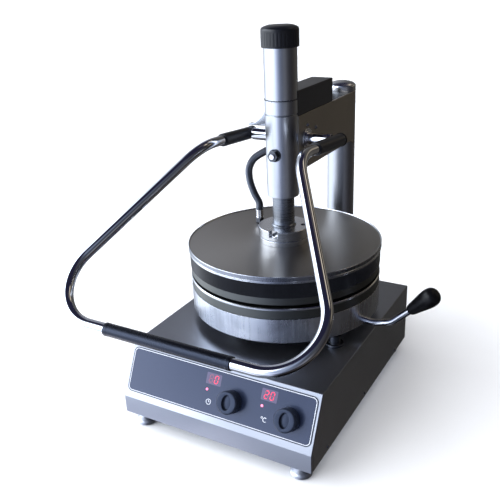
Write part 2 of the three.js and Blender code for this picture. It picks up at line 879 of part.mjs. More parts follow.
function pinionOutline() {
  const pitchRadius = rackModule * pinionTeeth / 2;
  const baseRadius = pitchRadius * Math.cos(pressureAngle);
  const tip = pitchRadius + rackModule * tipShare;
  const root = pitchRadius - rackModule * rootShare;
  const involute = (angle) => Math.tan(angle) - angle;
  const halfAtPitch = Math.PI / 2 / pinionTeeth - backlash / 4 / pitchRadius;
  const halfAt = (radius) => {
    const base = Math.min(1, baseRadius / radius);
    return halfAtPitch + involute(pressureAngle) - involute(Math.acos(base));
  };
  const flank = [root, baseRadius, pitchRadius, tip];
  const outline = new THREE.Shape();
  for (let i = 0; i < pinionTeeth; i += 1) {
    const middle = i * 2 * Math.PI / pinionTeeth;
    const side = [
      ...flank.map((radius) => [radius, middle - halfAt(radius)]),
      ...flank.slice().reverse().map((radius) => [radius, middle + halfAt(radius)]),
    ];
    side.forEach(([radius, angle], k) => {
      const x = radius * Math.cos(angle);
      const y = radius * Math.sin(angle);
      if (i === 0 && k === 0) outline.moveTo(x, y);
      else outline.lineTo(x, y);
    });
  }
  outline.closePath();
  return outline;
}

function makeRam() {
  const body = rod(rodRadius, flangeTop + seat, rodTop, medium);
  const slot = block([-guideTip - seat, -rodRadius - overrun, guideZ - ramTravel - guideTip - keyEnd],
    [guideTip + seat, -rodRadius + keyDepth, guideZ + guideTip + keyEnd]);
  add('ram_rod', cut(body, rackCutter(), slot), polishedSteel());

  const flange = turned([
    [0, flangeBottom], [flangeRadius, flangeBottom], [flangeRadius, flangeTop - flangeEdge],
    [flangeRadius - flangeEdge, flangeTop], [0, flangeTop],
  ], medium);
  const holes = [];
  for (let i = 0; i < flangeScrews; i += 1) {
    const angle = flangeScrewAngle + i * flangeScrewPitch;
    holes.push(moved(rod(flangeScrewRadius, flangeBottom - overrun, flangeTop + overrun),
      flangeScrewCircle * Math.cos(angle), flangeScrewCircle * Math.sin(angle), 0));
  }
  const notch = block([flangeRadius - notchDepth, -notchWidth / 2, flangeTop - notchHeight],
    [flangeRadius + overrun, notchWidth / 2, flangeTop + overrun]);
  const turnedNotch = placed(notch, new THREE.Matrix4().makeRotationZ(notchAngle));
  add('ram_flange', cut(flange, ...holes, turnedNotch), brushedSteel());

  const hubLow = upperBottom + upperThickness + seat;
  const hub = turned([
    [0, hubLow], [hubFoot, hubLow], [hubFoot, coverDish + seat], [hubRadius, coverDish + seat],
    [hubRadius, flangeBottom - seat], [0, flangeBottom - seat],
  ], medium);
  add('pressure_hub', hub, brushedSteel());
}

// Prints how near a wound tube comes to itself, from points that lie more than half a turn apart
function reportLeastGap(name, curve, turns, radius) {
  const count = Math.ceil(turns * gapPointsPerTurn);
  const points = curve.getPoints(count);
  const apart = Math.ceil(count / turns / 2);
  let least = Infinity;
  for (let i = 0; i < points.length; i += 1) {
    for (let j = i + apart; j < points.length; j += 1) {
      least = Math.min(least, points[i].distanceTo(points[j]) - 2 * radius);
    }
  }
  console.log(`${name}: least gap to itself ${least.toFixed(2)} mm`);
}

function makeSpring() {
  const nut = ring(0, springNutRadius, rodTop + seat, rodTop + seat + springNutHeight, medium);
  add('spring_nut', nut, zincSteel());
  const low = collarTop + springWire + seat;
  const high = rodTop + seat - springWire - seat;
  class Helix extends THREE.Curve {
    getPoint(t) {
      const angle = t * springTurns * 2 * Math.PI;
      const [x, y] = [springMean * Math.cos(angle), springMean * Math.sin(angle)];
      return new THREE.Vector3(x, y, low + (high - low) * t);
    }
  }
  const helix = new Helix();
  add('return_spring', tubeAlong(helix, springWire, springSides, springTurns * springSteps), zincSteel());
  reportLeastGap('return_spring', helix, springTurns, springWire);
}

function makeGuideScrew() {
  const face = tubeRadius + seat;
  const washer = ring(0, washerRadius, face, face + washerThickness, small);
  const nut = upExtrusion(hexagon(guideNutFlat), face, face + washerThickness + guideNutLength);
  const stub = rod(guideShank, face, face + washerThickness + guideNutLength + guideStub, small);
  const shank = rod(guideShank, rodRadius + seat, face + washerThickness, small);
  const tip = rod(guideTip, rodRadius - keyDepth + seat + keyEnd / 2, rodRadius + keyEnd, small);
  const screw = facingFront(join(washer, nut, stub, shank, tip));
  add('guide_screw', screw, zincSteel()).position.set(0, 0, guideZ);
}

// Two bearings, one in each cheek
function makeBearing(name, side) {
  const inside = pinionFace / 2 + bearingEase;
  const face = cheekHalf + seat;
  const bearing = turned([
    [shaftRadius + seat, inside], [bearingRadius, inside], [bearingRadius, face], [bearingFlange, face],
    [bearingFlange, face + bearingFlangeThickness], [shaftRadius + seat, face + bearingFlangeThickness],
    [shaftRadius + seat, inside],
  ], fine);
  const turn = new THREE.Matrix4().makeRotationY(side * Math.PI / 2);
  add(name, placed(bearing, turn), brushedSteel()).position.set(0, shaftY, shaftZ);
}

function makeShaft(parent) {
  const gear = upExtrusion(pinionOutline(), -pinionFace / 2, pinionFace / 2);
  const reach = socketX - socketRadius + socketBite;
  const shaft = rod(shaftRadius, -reach, reach, fine);
  // a quarter turn about Z puts a tooth on the line to the rod
  const gearAndShaft = alongX(placed(join(gear, shaft), new THREE.Matrix4().makeRotationZ(Math.PI / 2)));
  add('pinion_shaft', gearAndShaft, polishedSteel(), parent);

  for (const [name, side] of [['shaft_collar_right', 1], ['shaft_collar_left', -1]]) {
    const low = cheekHalf + seat + bearingFlangeThickness + seat;
    const high = socketX - socketRadius - seat;
    const bore = shaftRadius + seat;
    const collar = turned([
      [bore, low], [ringRadius, low], [ringRadius, low + ringThickness],
      [hubSleeveRadius, low + ringThickness], [hubSleeveRadius, high], [bore, high], [bore, low],
    ], fine);
    add(name, placed(collar, new THREE.Matrix4().makeRotationY(side * Math.PI / 2)), chrome(), parent);
  }
}

// The handle group sits on the shaft's axis
function makeHandle() {
  const handle = new THREE.Group();
  handle.position.set(0, shaftY, shaftZ);
  press.add(handle);
  makeShaft(handle);

  const forward = new THREE.Vector3(0, -Math.cos(socketTilt), Math.sin(socketTilt));
  const aim = new THREE.Matrix4().makeRotationX(Math.PI / 2 - socketTilt);
  for (const [name, side] of [['handle_socket_right', 1], ['handle_socket_left', -1]]) {
    const capRim = socketRadius + socketCapStep;
    const barBore = barRadius + seat;
    const body = turned([
      [0, -socketRear], [socketRadius, -socketRear], [capRim, -socketRear + socketCapStep],
      [capRim, -socketRear + socketCap], [socketRadius, -socketRear + socketCap + socketCapStep],
      [socketRadius, socketFront], [barBore, socketFront], [barBore, barStart - seat], [0, barStart - seat],
    ], fine);
    const boreEnd = socketBite - socketRadius + seat;
    const bore = alongX(rod(shaftRadius + seat, -overrun - socketRadius, boreEnd, fine));
    const handed = side > 0 ? bore : placed(bore, new THREE.Matrix4().makeRotationY(Math.PI));
    add(name, cut(placed(body, aim), handed), blackPlastic(), handle).position.set(side * socketX, 0, 0);
  }

  const start = forward.clone().multiplyScalar(barStart).add(new THREE.Vector3(socketX, 0, 0));
  const shoulder = forward.clone().multiplyScalar(shoulderReach).add(new THREE.Vector3(socketX, 0, 0));
  const corner = new THREE.Vector3(cornerX, -gripReach - shaftY, gripZ - shaftZ);
  const mirror = (point) => new THREE.Vector3(-point.x, point.y, point.z);
  const path = bentPath([start, shoulder, corner, mirror(corner), mirror(shoulder), mirror(start)],
    [shoulderBend, cornerBend, cornerBend, shoulderBend]);
  add('handle_bar', tubeAlong(path, barRadius, barSides, barSteps), chrome(), handle);

  const inner = barRadius + seat;
  const outer = inner + gripWall;
  const grip = turned([
    [inner, -gripHalf], [outer - gripEdge, -gripHalf], [outer, -gripHalf + gripEdge],
    [outer, gripHalf - gripEdge], [outer - gripEdge, gripHalf], [inner, gripHalf], [inner, -gripHalf],
  ], small);
  add('front_grip', alongX(grip), blackRubber(), handle).position.set(0, -gripReach - shaftY, gripZ - shaftZ);
}

function makeHeater(low) {
  const outer = heaterRadius + heaterBar;
  const high = low + heaterBar;
  const gap = block([-heaterGap / 2, 0, low - overrun], [heaterGap / 2, outer + overrun, high + overrun]);
  return cut(ring(heaterRadius, outer, low, high, medium), gap);
}

function makeUpperPlate() {
  const top = upperBottom + upperThickness;
  const plate = turned([
    [0, upperBottom], [plateRadius - plateChamfer, upperBottom], [plateRadius, upperBottom + plateChamfer],
    [plateRadius, top], [0, top],
  ]);
  add('upper_hot_plate', plate, castAluminium());
  add('upper_band', ring(bandRadius - bandWall, bandRadius, top + seat, bandTop), blackEnamel());
  add('upper_heater', makeHeater(top + seat), zincSteel());

  // spun cover: shallow cone inside a rolled rim that hangs over the band
  const rimInner = coverRadius - rimWidth;
  const rimLow = bandTop + seat;
  const waist = coverRadius - rimGroove;
  const hole = hubFoot + seat;
  const cover = turned([
    [hole, coverDish - coverSheet], [rimInner, coverDish + coverRise - coverSheet],
    [rimInner, rimLow], [coverRadius, rimLow], [coverRadius, rimLow + rimBead],
    [waist, rimLow + rimBead + rimGroove], [waist, coverTop - rimBead - rimGroove],
    [coverRadius, coverTop - rimBead], [waist, coverTop], [coverRadius - rimWidth / 2, coverTop],
    [rimInner, coverDish + coverRise], [hole, coverDish], [hole, coverDish - coverSheet],
  ]);
  const footing = moved(rod(hoseBore + seat, coverDish - overrun, coverTop, small), -hoseFootX, hoseY, 0);
  add('upper_cover', cut(cover, footing), brushedSteel());
}

function makeLowerPlate() {
  const wallInner = shellRadius - shellSheet;
  const floor = shellBottom + shellSheet;
  const shell = turned([
    [0, shellBottom], [shellRadius - shellFold, shellBottom], [shellRadius, shellBottom + shellFold],
    [shellRadius, shellTop], [wallInner, shellTop], [wallInner, floor], [0, floor],
  ]);
  const pivotBore = rod(pivotPin + seat, shellBottom - overrun, floor + overrun, medium);
  const pivotHole = moved(pivotBore, pivotX, pivotY, 0);
  const leverBore = rod(leverRadius + seat, shellRadius - leverInside, shellRadius + overrun);
  const leverHole = moved(alongX(leverBore), 0, 0, leverZ);
  const turnedHole = placed(leverHole, new THREE.Matrix4().makeRotationZ(leverAngle));
  add('lower_shell', cut(shell, pivotHole, turnedHole), polishedSteel());

  const low = shellTop + seat;
  const spigot = wallInner - seat - spigotStep;
  const lip = plateRadius + lipStep;
  const plate = turned([
    [0, low - spigotDepth], [spigot, low - spigotDepth], [spigot, low], [plateRadius, low],
    [plateRadius, lowerTop - lipHeight], [lip, lowerTop - lipHeight],
    [lip, lowerTop - plateChamfer], [lip - plateChamfer, lowerTop], [0, lowerTop],
  ]);
  add('lower_hot_plate', plate, castAluminium());
  add('lower_heater', makeHeater(low - spigotDepth - heaterBar - seat), zincSteel());
}

function makePivot() {
  const low = deckZ + seat;
  const post = turned([
    [0, low], [pivotFlange, low],
    [pivotFlange, low + pivotFlangeHeight], [pivotBoss, low + pivotFlangeHeight],
    [pivotBoss, shellBottom - seat], [pivotPin, shellBottom - seat], [pivotPin, shellBottom + pivotPinTop],
    [0, shellBottom + pivotPinTop],
  ], medium);
  add('pivot_post', post, brushedSteel()).position.set(pivotX, pivotY, 0);
  glidePlaces.forEach(([x, y], i) => {
    const pad = rod(glideRadius, low, shellBottom - seat);
    add(`glide_pad_${i + 1}`, pad, whitePlastic()).position.set(x, y, 0);
  });
}

// The lever is drawn in a plane through the ram axis and turned to its place
function makeLever() {
  const lever = new THREE.Group();
  lever.rotation.z = leverAngle;
  press.add(lever);
  const start = new THREE.Vector3(shellRadius - leverInside, 0, leverZ);
  const rise = new THREE.Vector3(leverRise, 0, leverZ);
  const corner = new THREE.Vector3(leverCorner, 0, leverCornerZ);
  const tip = new THREE.Vector3(leverEnd, 0, leverEndZ);
  const along = tip.clone().sub(corner).normalize();
  const knobBase = tip.clone().addScaledVector(along, -leverKnobLength);
  const bite = knobBase.clone().addScaledVector(along, leverKnobLength * leverBiteShare);
  const path = bentPath([start, rise, corner, bite], leverBends);
  add('lever_rod', tubeAlong(path, leverRadius, barSides, leverSteps), chrome(), lever);

  const profile = leverKnobShares.map(([rise, swell]) => [leverKnobLarge * swell, leverKnobLength * rise]);
  const bore = leverRadius + seat;
  const depth = leverKnobLength * leverBiteShare + seat;
  const end = [[0, leverKnobLength], [0, depth], [bore, depth], [bore, 0]];
  const knob = turned([[bore, 0], ...profile, ...end], fine);
  const aim = new THREE.Quaternion().setFromUnitVectors(new THREE.Vector3(0, 0, 1), along);
  const mesh = add('lever_knob', knob, blackPlastic(), lever);
  mesh.position.copy(knobBase);
  mesh.quaternion.copy(aim);
}

// Flexible hose: ribs outside, a bore inside, along a smooth curve
function ribbedHose(curve) {
  const length = curve.getLength();
  const plain = 2 * hoseRadius;
  const ribs = Math.round((length - 2 * plain) / hosePitch);
  const stations = [0];
  for (let i = 0; i < ribs; i += 1) {
    const low = plain + (length - 2 * plain) * i / ribs;
    stations.push(low, low + (length - 2 * plain) / ribs / 2);
  }
  stations.push(length - plain, length);
  const frames = curve.computeFrenetFrames(frameSamples, false);
  const positions = [];
  const index = [];
  function addRing(at, radius) {
    const share = at / length;
    const centre = curve.getPointAt(share);
    const k = Math.round(share * frameSamples);
    const start = positions.length / 3;
    for (let j = 0; j < hoseSides; j += 1) {
      const angle = j * 2 * Math.PI / hoseSides;
      const point = centre.clone()
        .addScaledVector(frames.normals[k], radius * Math.cos(angle))
        .addScaledVector(frames.binormals[k], radius * Math.sin(angle));
      positions.push(point.x, point.y, point.z);
    }
    return start;
  }
  function band(a, b, outward) {
    for (let j = 0; j < hoseSides; j += 1) {
      const n = (j + 1) % hoseSides;
      if (outward) index.push(a + j, a + n, b + n, a + j, b + n, b + j);
      else index.push(a + j, b + n, a + n, a + j, b + j, b + n);
    }
  }
  const outer = stations.map((at, i) => {
    const rib = i > 0 && i < stations.length - 2 && i % 2 === 0;
    return addRing(at, rib ? hoseRadius : hoseRadius - hoseRib);
  });
  const last = stations.length - 1;
  const inner = stations.filter((_, i) => i === 0 || i === last || i % (2 * hoseBoreEvery) === 0)
    .map((at) => addRing(at, hoseBore));
  for (let i = 1; i < outer.length; i += 1) band(outer[i - 1], outer[i], true);
  for (let i = 1; i < inner.length; i += 1) band(inner[i - 1], inner[i], false);
  band(inner[0], outer[0], true);
  band(outer[outer.length - 1], inner[inner.length - 1], true);
  const geometry = new THREE.BufferGeometry();
  geometry.setAttribute('position', new THREE.BufferAttribute(new Float32Array(positions), 3));
  geometry.setIndex(index);
  const solid = solidOf(geometry);
  return solid.volume() < 0 ? solidOf(flipped(geometry)) : solid;
}

function makeHose() {
  const glandEnd = -cheekHalf - hoseGlandLength;
  const gland = join(
    turned([[hoseBore, -cheekSheet - overrun], [hoseRadius, -cheekSheet - overrun], [hoseRadius, seat],
      [hoseBore, seat], [hoseBore, -cheekSheet - overrun]], small),
    ring(hoseBore, hoseGlandRadius, seat, hoseGlandLength - seat, small));
  const outward = new THREE.Matrix4().makeRotationY(-Math.PI / 2);
  add('hose_gland', placed(gland, outward), zincSteel()).position.set(-cheekHalf, hoseY, hoseGlandZ);

  // each end runs straight for one diameter
  const points = [
    [glandEnd, hoseGlandZ], [glandEnd - 2 * hoseRadius, hoseGlandZ], ...hoseRoute,
    [-hoseFootX, ferruleTop + seat + 2 * hoseRadius], [-hoseFootX, ferruleTop + seat],
  ].map(([x, z]) => new THREE.Vector3(x, hoseY, z));
  add('flex_hose', ribbedHose(new THREE.CatmullRomCurve3(points, false, 'centripetal')), zincSteel());

  const footShare = (Math.hypot(hoseFootX, hoseY) - hubFoot) / (coverRadius - rimWidth - hubFoot);
  const surface = coverDish + coverRise * footShare;
  const nutLow = surface + coverRise / 2 + seat;
  const nutHigh = nutLow + hoseNutHeight;
  add('hose_nut', cut(upExtrusion(hexagon(hoseNutFlat), nutLow, nutHigh),
    rod(ferruleBore, nutLow - overrun, nutHigh + overrun)), blackPlastic())
    .position.set(-hoseFootX, hoseY, 0);
  add('hose_ferrule', ring(ferruleBore, ferruleRadius, nutHigh + seat, ferruleTop, small), chrome())
    .position.set(-hoseFootX, hoseY, 0);
}

makeCase();
makePan();
makeFeet();
makeLabel();
makeDisplay('timer_display', displayX);
makeDisplay('heat_display', displayX + groupSpacing);
makeLamp('timer_lamp', lampX);
makeLamp('heat_lamp', lampX + groupSpacing);
makeKnob('timer_knob', timerKnobX);
makeKnob('heat_knob', timerKnobX + groupSpacing);
makeControl('timer_control', timerKnobX);
makeControl('heat_control', timerKnobX + groupSpacing);
makeBoard();
makeGland();
makeColumn();
makeArm();
makeStop();
makeTubes();
makeRam();
makeSpring();
makeGuideScrew();
makeBearing('bearing_right', 1);
makeBearing('bearing_left', -1);
makeHandle();
makeUpperPlate();
makeLowerPlate();
makePivot();
makeLever();
makeHose();

// Put the origin under the middle of the whole footprint
press.updateMatrixWorld(true);
const extent = new THREE.Box3().setFromObject(press, true);
const middle = extent.getCenter(new THREE.Vector3());
press.position.set(-middle.x, -middle.y, 0);

const group = new THREE.Group();
group.add(press);
group.updateMatrixWorld(true);

export default group;
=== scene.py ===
from math import cos, hypot, pi, radians, sin, sqrt, tan

import bmesh
import bpy
from mathutils import Matrix, Vector


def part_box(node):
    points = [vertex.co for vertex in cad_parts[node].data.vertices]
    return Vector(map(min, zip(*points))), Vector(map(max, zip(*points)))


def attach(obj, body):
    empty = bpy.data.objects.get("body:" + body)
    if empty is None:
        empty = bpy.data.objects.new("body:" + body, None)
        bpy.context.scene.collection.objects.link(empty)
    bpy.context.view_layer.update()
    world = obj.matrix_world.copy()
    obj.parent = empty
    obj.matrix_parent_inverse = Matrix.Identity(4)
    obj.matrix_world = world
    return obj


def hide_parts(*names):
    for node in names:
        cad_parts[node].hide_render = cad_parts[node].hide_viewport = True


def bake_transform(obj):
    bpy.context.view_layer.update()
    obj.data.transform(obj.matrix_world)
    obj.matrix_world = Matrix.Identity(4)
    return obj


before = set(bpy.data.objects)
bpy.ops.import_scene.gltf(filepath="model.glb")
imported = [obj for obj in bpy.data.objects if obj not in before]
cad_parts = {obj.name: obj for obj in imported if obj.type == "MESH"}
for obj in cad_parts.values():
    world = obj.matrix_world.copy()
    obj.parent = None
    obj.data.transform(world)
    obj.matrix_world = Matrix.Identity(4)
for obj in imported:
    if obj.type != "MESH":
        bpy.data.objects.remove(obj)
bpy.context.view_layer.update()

# Lengths are in millimetres about the ram's upright axis, with the floor at zero.
MM = 0.001
cover_low, cover_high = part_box("upper_cover")
RAM_AXIS = Vector(((cover_low.x + cover_high.x) / 2, (cover_low.y + cover_high.y) / 2, 0))
HERE = Matrix.Identity(4)
# hairline between two pieces that rest on each other
SEAT = 0.3


def shift(x=0.0, y=0.0, z=0.0):
    return Matrix.Translation((x, y, z))


def tilt(degrees, axis):
    return Matrix.Rotation(radians(degrees), 4, axis)


def put(name, data):
    made = bpy.data.objects.new(name, data)
    bpy.context.scene.collection.objects.link(made)
    return made


def in_frame(x, y, z):
    """A point of the press in metres of the frame."""
    return RAM_AXIS + Vector((x, y, z)) * MM


# Camera, room, light and floor.

CAMERA_PLACE = (612.56, -1186.47, 865.66)
CAMERA_TURN, CAMERA_DIP, CAMERA_ROLL = 30.49, 22.75, -2.49
LENS, SENSOR = 48.55, 36
SIGHT_LIMIT = 100


def set_camera():
    data = bpy.data.cameras.new("viewpoint")
    data.sensor_width = SENSOR
    data.lens = LENS
    data.clip_end = SIGHT_LIMIT
    eye = put("viewpoint", data)
    turn = tilt(CAMERA_TURN, "Z") @ tilt(90 - CAMERA_DIP, "X") @ tilt(CAMERA_ROLL, "Z")
    eye.matrix_world = Matrix.Translation(in_frame(*CAMERA_PLACE)) @ turn
    bpy.context.scene.camera = eye


def linear(colour):
    """An sRGB hex colour as the linear values that shaders take."""
    parts = [int(colour[i:i + 2], 16) / 255 for i in (1, 3, 5)]
    return [p / 12.92 if p <= 0.04045 else ((p + 0.055) / 1.055) ** 2.4 for p in parts] + [1.0]


def add(tree, kind, sockets=(), out=0, **settings):
    """Adds a shader node and gives its output. Sockets take numbers, colours or outputs."""
    made = tree.nodes.new("ShaderNode" + kind)
    for key, value in settings.items():
        setattr(made, key, value)
    for key, value in dict(sockets).items():
        if isinstance(value, bpy.types.NodeSocket):
            tree.links.new(value, made.inputs[key])
        else:
            made.inputs[key].default_value = value
    return made.outputs[out] if made.outputs else made


def ramp(tree, factor, stops):
    """Adds a colour ramp with (place, colour) stops."""
    made = add(tree, "ValToRGB", {"Fac": factor})
    band = made.node.color_ramp.elements
    while len(band) < len(stops):
        band.new(0.5)
    for element, (place, colour) in zip(band, stops):
        element.position = place
        element.color = colour
    return made


# The room round the press by compass bearing from the camera's side, in hundredths of paper
# white: ground, walls at table height and walls higher up. A tall bright window stands to the
# left, and the rest is dim and a little warm.
ROOM = [
    (-180, (8, 8, 9), (12, 12, 13), (36, 36.5, 39)),
    (-168, (10, 10.5, 12), (25, 26, 30), (46, 48, 55)),
    (-152, (30, 32, 36), (60, 65, 75), (52, 57, 66)),
    (-140, (120, 130, 145), (120, 130, 150), (80, 88, 100)),
    (-128, (150, 162, 180), (175, 190, 210), (220, 240, 270)),
    (-116, (160, 170, 190), (180, 195, 215), (400, 440, 490)),
    (-100, (140, 155, 170), (180, 195, 220), (420, 460, 510)),
    (-90, (75, 85, 110), (180, 198, 225), (420, 460, 510)),
    (-66, (55, 65, 85), (160, 175, 205), (460, 495, 550)),
    (-60, (50, 58, 70), (160, 175, 205), (520, 550, 590)),
    (-50, (30, 36, 48), (155, 170, 200), (460, 490, 530)),
    (-42, (24, 30, 40), (145, 160, 195), (100, 116, 150)),
    (-31, (34, 41, 56), (85, 95, 125), (40, 48, 66)),
    (-22, (8, 9, 13), (46, 53, 76), (40, 48, 66)),
    (-12, (2.2, 2.4, 3.2), (21, 25, 36), (20, 24, 34)),
    (5, (1.8, 1.8, 2.2), (15, 16.5, 22), (7, 8, 11)),
    (24, (2.2, 2.1, 2.3), (23, 24, 28), (8, 8.5, 10)),
    (38, (3, 3, 3.2), (10, 10, 11), (6, 6, 7)),
    (56, (3, 3, 3), (3.8, 3.8, 4.5), (5, 5, 5.8)),
    (82, (3.5, 3.3, 3.2), (3, 2.7, 2.7), (3.6, 3.3, 3.3)),
    (110, (3, 3, 3), (7, 6.4, 5.8), (5, 4.5, 4)),
    (140, (3.5, 3.5, 3.5), (11, 10.5, 9.6), (9, 8.5, 8)),
    (165, (8, 7.8, 7.8), (10, 9.8, 9.5), (13, 12.8, 12.5)),
    (180, (8, 8, 9), (12, 12, 13), (36, 36.5, 39)),
]
BLACK, WHITE = (0, 0, 0, 1), (1, 1, 1, 1)
# Heights, as sines above the horizon, between which one part of the room gives way to the next.
UNDERFOOT, NEAR_TABLE, TABLE_LINE = (-0.8, -0.72), (-0.59, -0.55), (-0.5, -0.36)
HORIZON, CEILING_LINE = (-0.06, 0.06), (0.55, 0.76)
UNDERFOOT_SHARE, NEAR_TABLE_SHARE = (0.25, 0.25, 0.25, 1), (2.7, 2.45, 2.3, 1)
CEILING = (0.02, 0.02, 0.045, 1)
# A cross beam dims part of the window, by its height and by its bearing.
BEAM_ROWS = [(0.165, 0), (0.2, 1), (0.33, 1), (0.38, 0)]
BEAM_WIDTH = [(-68, 0), (-61, 1), (-46, 1), (-40, 0)]
BEAM_COLOUR = (0.85, 1.05, 1.45, 1)
# Warm lamp rows on the right, by their height and by their share of a full turn.
LAMP_ROWS = [(0.14, 0), (0.19, 0.32), (0.33, 0.32), (0.38, 0), (0.68, 0), (0.73, 1), (0.81, 1),
    (0.86, 0.04), (0.93, 0.04), (0.96, 0.12), (0.98, 0.12), (1.0, 0)]
LAMPS_START, LAMPS_END = (0.72, 0.75), (0.86, 0.9)
LAMP_COLOUR = (1.0, 0.86, 0.64, 1)


def share_of_turn(bearing):
    return (bearing + 180) / 360


def set_room():
    world = bpy.data.worlds.new("studio")
    bpy.context.scene.world = world
    world.use_nodes = True
    tree = world.node_tree
    tree.nodes.clear()
    place = add(tree, "TexCoord")
    # turns the compass so that the middle of a ramp faces the camera's side
    compass = add(tree, "Mapping", {"Vector": place, "Rotation": (0, 0, radians(90 - CAMERA_TURN))})
    bearing = add(tree, "TexGradient", {"Vector": compass}, out="Fac", gradient_type="RADIAL")
    height = add(tree, "SeparateXYZ", {"Vector": place}, "Z")

    def above(value, start, end):
        return add(tree, "MapRange", {"Value": value, "From Min": start, "From Max": end},
            interpolation_type="SMOOTHSTEP")

    def mix(factor, first, second, how="MIX"):
        return add(tree, "Mix", {"Factor": factor, 6: first, 7: second}, 2, data_type="RGBA",
            blend_type=how, clamp_factor=True)

    def strength(along, rows):
        return ramp(tree, along, [(spot, (v, v, v, 1)) for spot, v in rows])

    ground, level, upper = (
        ramp(tree, bearing, [(share_of_turn(row[0]), (*(v / 100 for v in row[i]), 1)) for row in ROOM])
        for i in (1, 2, 3))
    underfoot = mix(1, ground, UNDERFOOT_SHARE, "MULTIPLY")
    table_top = mix(1, ground, NEAR_TABLE_SHARE, "MULTIPLY")
    table_top = mix(above(height, *UNDERFOOT), underfoot, table_top)
    ground = mix(above(height, *NEAR_TABLE), table_top, ground)
    walls = mix(above(height, *TABLE_LINE), ground, level)
    walls = mix(above(height, *HORIZON), walls, upper)
    beam = mix(1, strength(height, BEAM_ROWS), strength(bearing, [(share_of_turn(b), v) for b,
        v in BEAM_WIDTH]), "MULTIPLY")
    walls = mix(beam, walls, BEAM_COLOUR)
    walls = mix(above(height, *CEILING_LINE), walls, CEILING)
    lamps = mix(above(bearing, *LAMPS_START), BLACK, LAMP_COLOUR)
    lamps = mix(above(bearing, *LAMPS_END), lamps, BLACK)
    walls = mix(1, walls, mix(1, strength(height, LAMP_ROWS), lamps, "MULTIPLY"), "ADD")
    # the eye sees white paper behind the press, and everything else sees the room
    seen = add(tree, "LightPath", out="Is Camera Ray")
    room = add(tree, "Background", {"Color": walls, "Strength": 1.0})
    paper = add(tree, "Background", {"Color": WHITE, "Strength": 1.0})
    both = add(tree, "MixShader", {"Fac": seen, 1: room, 2: paper})
    add(tree, "OutputWorld", {"Surface": both})


# Name, strength, spread and turn of each soft sun. They light the floor and all that isn't metal.
SUNS = (("soft_key", 2.5, 90, (45, 0, -48)), ("soft_fill", 1.5, 150, (12, 0, 60)))


def set_lights():
    for name, strength, spread, turn in SUNS:
        data = bpy.data.lights.new(name, "SUN")
        data.energy = strength
        data.angle = radians(spread)
        lamp = put(name, data)
        lamp.rotation_euler = [radians(a) for a in turn]
        lamp.visible_glossy = False


FLOOR_HALF = 30


def set_floor():
    mesh = bpy.data.meshes.new("floor")
    corners = ((-1, -1), (1, -1), (1, 1), (-1, 1))
    mesh.from_pydata([(x * FLOOR_HALF, y * FLOOR_HALF, 0) for x, y in corners], [], [(0, 1, 2, 3)])
    floor = put("floor", mesh)
    mesh.materials.append(coating("pale_paper", "#f4f5f7", 0.9, size=6, shade=0.01))
    # metal mirrors the dim room instead of the paper that it stands on
    floor.visible_glossy = False


# Finishes.

# Soft blotches of handling, about 70 mm wide, lie over every pattern at half its strength.
BLOTCHES_PER_METRE, BLOTCH_SHARE = 14.0, 0.5
# The two patterns together run between these values, and the tones between these shares of that.
PATTERN_LOW, PATTERN_HIGH = 0.3, 0.9
DARK_END, LIGHT_END = 0.15, 0.85
CLEAREST = 0.02


def surface(name, colour, rough, metallic=1.0, size=1.0, stretch=(1, 1, 1), turned=False, shade=0.06,
        spread=0.05, relief=0.0, anisotropic=0.0, grain="Z", lean=0, gloss=0.5, tint="#ffffff", **more):
    """A finish with one fine pattern, size mm wide: stretch makes it run along an axis, lean
    turns it, and turned winds it as a lathe does. It shades the colour, spreads the roughness
    and stands relief mm high. grain is the axis of brushed metal, gloss and tint are its shine."""
    made = bpy.data.materials.new(name)
    made.use_nodes = True
    tree = made.node_tree
    tree.nodes.clear()
    own = place = add(tree, "TexCoord", out="Object")
    if turned:
        parts = add(tree, "SeparateXYZ", {"Vector": place}).node.outputs
        flat = add(tree, "CombineXYZ", {"X": parts["X"], "Y": parts["Y"]})
        reach = add(tree, "VectorMath", {0: flat}, "Value", operation="LENGTH")
        place = add(tree, "CombineXYZ", {"X": reach, "Z": parts["Z"]})
    scaled = add(tree, "Mapping", {"Vector": place, "Scale": [1 / (size * MM * s) for s in stretch],
        "Rotation": (radians(lean), radians(-lean), 0)})
    pattern = add(tree, "TexNoise", {"Vector": scaled, "Scale": 1.0, "Detail": 4.0, "Roughness": 0.6})
    blotch = add(tree, "TexNoise", {"Vector": own, "Scale": BLOTCHES_PER_METRE, "Detail": 3.0})
    both = add(tree, "Math", {0: pattern, 1: blotch, 2: BLOTCH_SHARE}, operation="MULTIPLY_ADD")
    level = add(tree, "MapRange", {"Value": both, "From Min": PATTERN_LOW, "From Max": PATTERN_HIGH})
    tone = linear(colour)
    light = [min(1, c * (1 + shade)) for c in tone[:3]] + [1]
    dark = [c * (1 - shade) for c in tone[:3]] + [1]
    roughness = add(tree, "MapRange", {"Value": level, "To Min": max(CLEAREST, rough - spread),
        "To Max": rough + spread})
    sockets = {"Base Color": ramp(tree, level, [(DARK_END, dark), (LIGHT_END, light)]),
        "Metallic": metallic, "Roughness": roughness, "Specular IOR Level": gloss,
        "Specular Tint": linear(tint), **more}
    if relief:
        sockets["Normal"] = add(tree, "Bump", {"Height": pattern, "Distance": relief * MM, "Strength": 1.0})
    if anisotropic:
        sockets["Anisotropic"] = anisotropic
        sockets["Tangent"] = add(tree, "Tangent", direction_type="RADIAL", axis=grain)
    bsdf = add(tree, "BsdfPrincipled", sockets)
    add(tree, "OutputMaterial", {"Surface": bsdf})
    return made


def coating(*given, **more):
    """The same for all that isn't bare metal."""
    return surface(*given, metallic=0.0, **more)


set_camera()
bpy.context.scene.view_settings.view_transform = "Standard"
set_room()
set_lights()
set_floor()

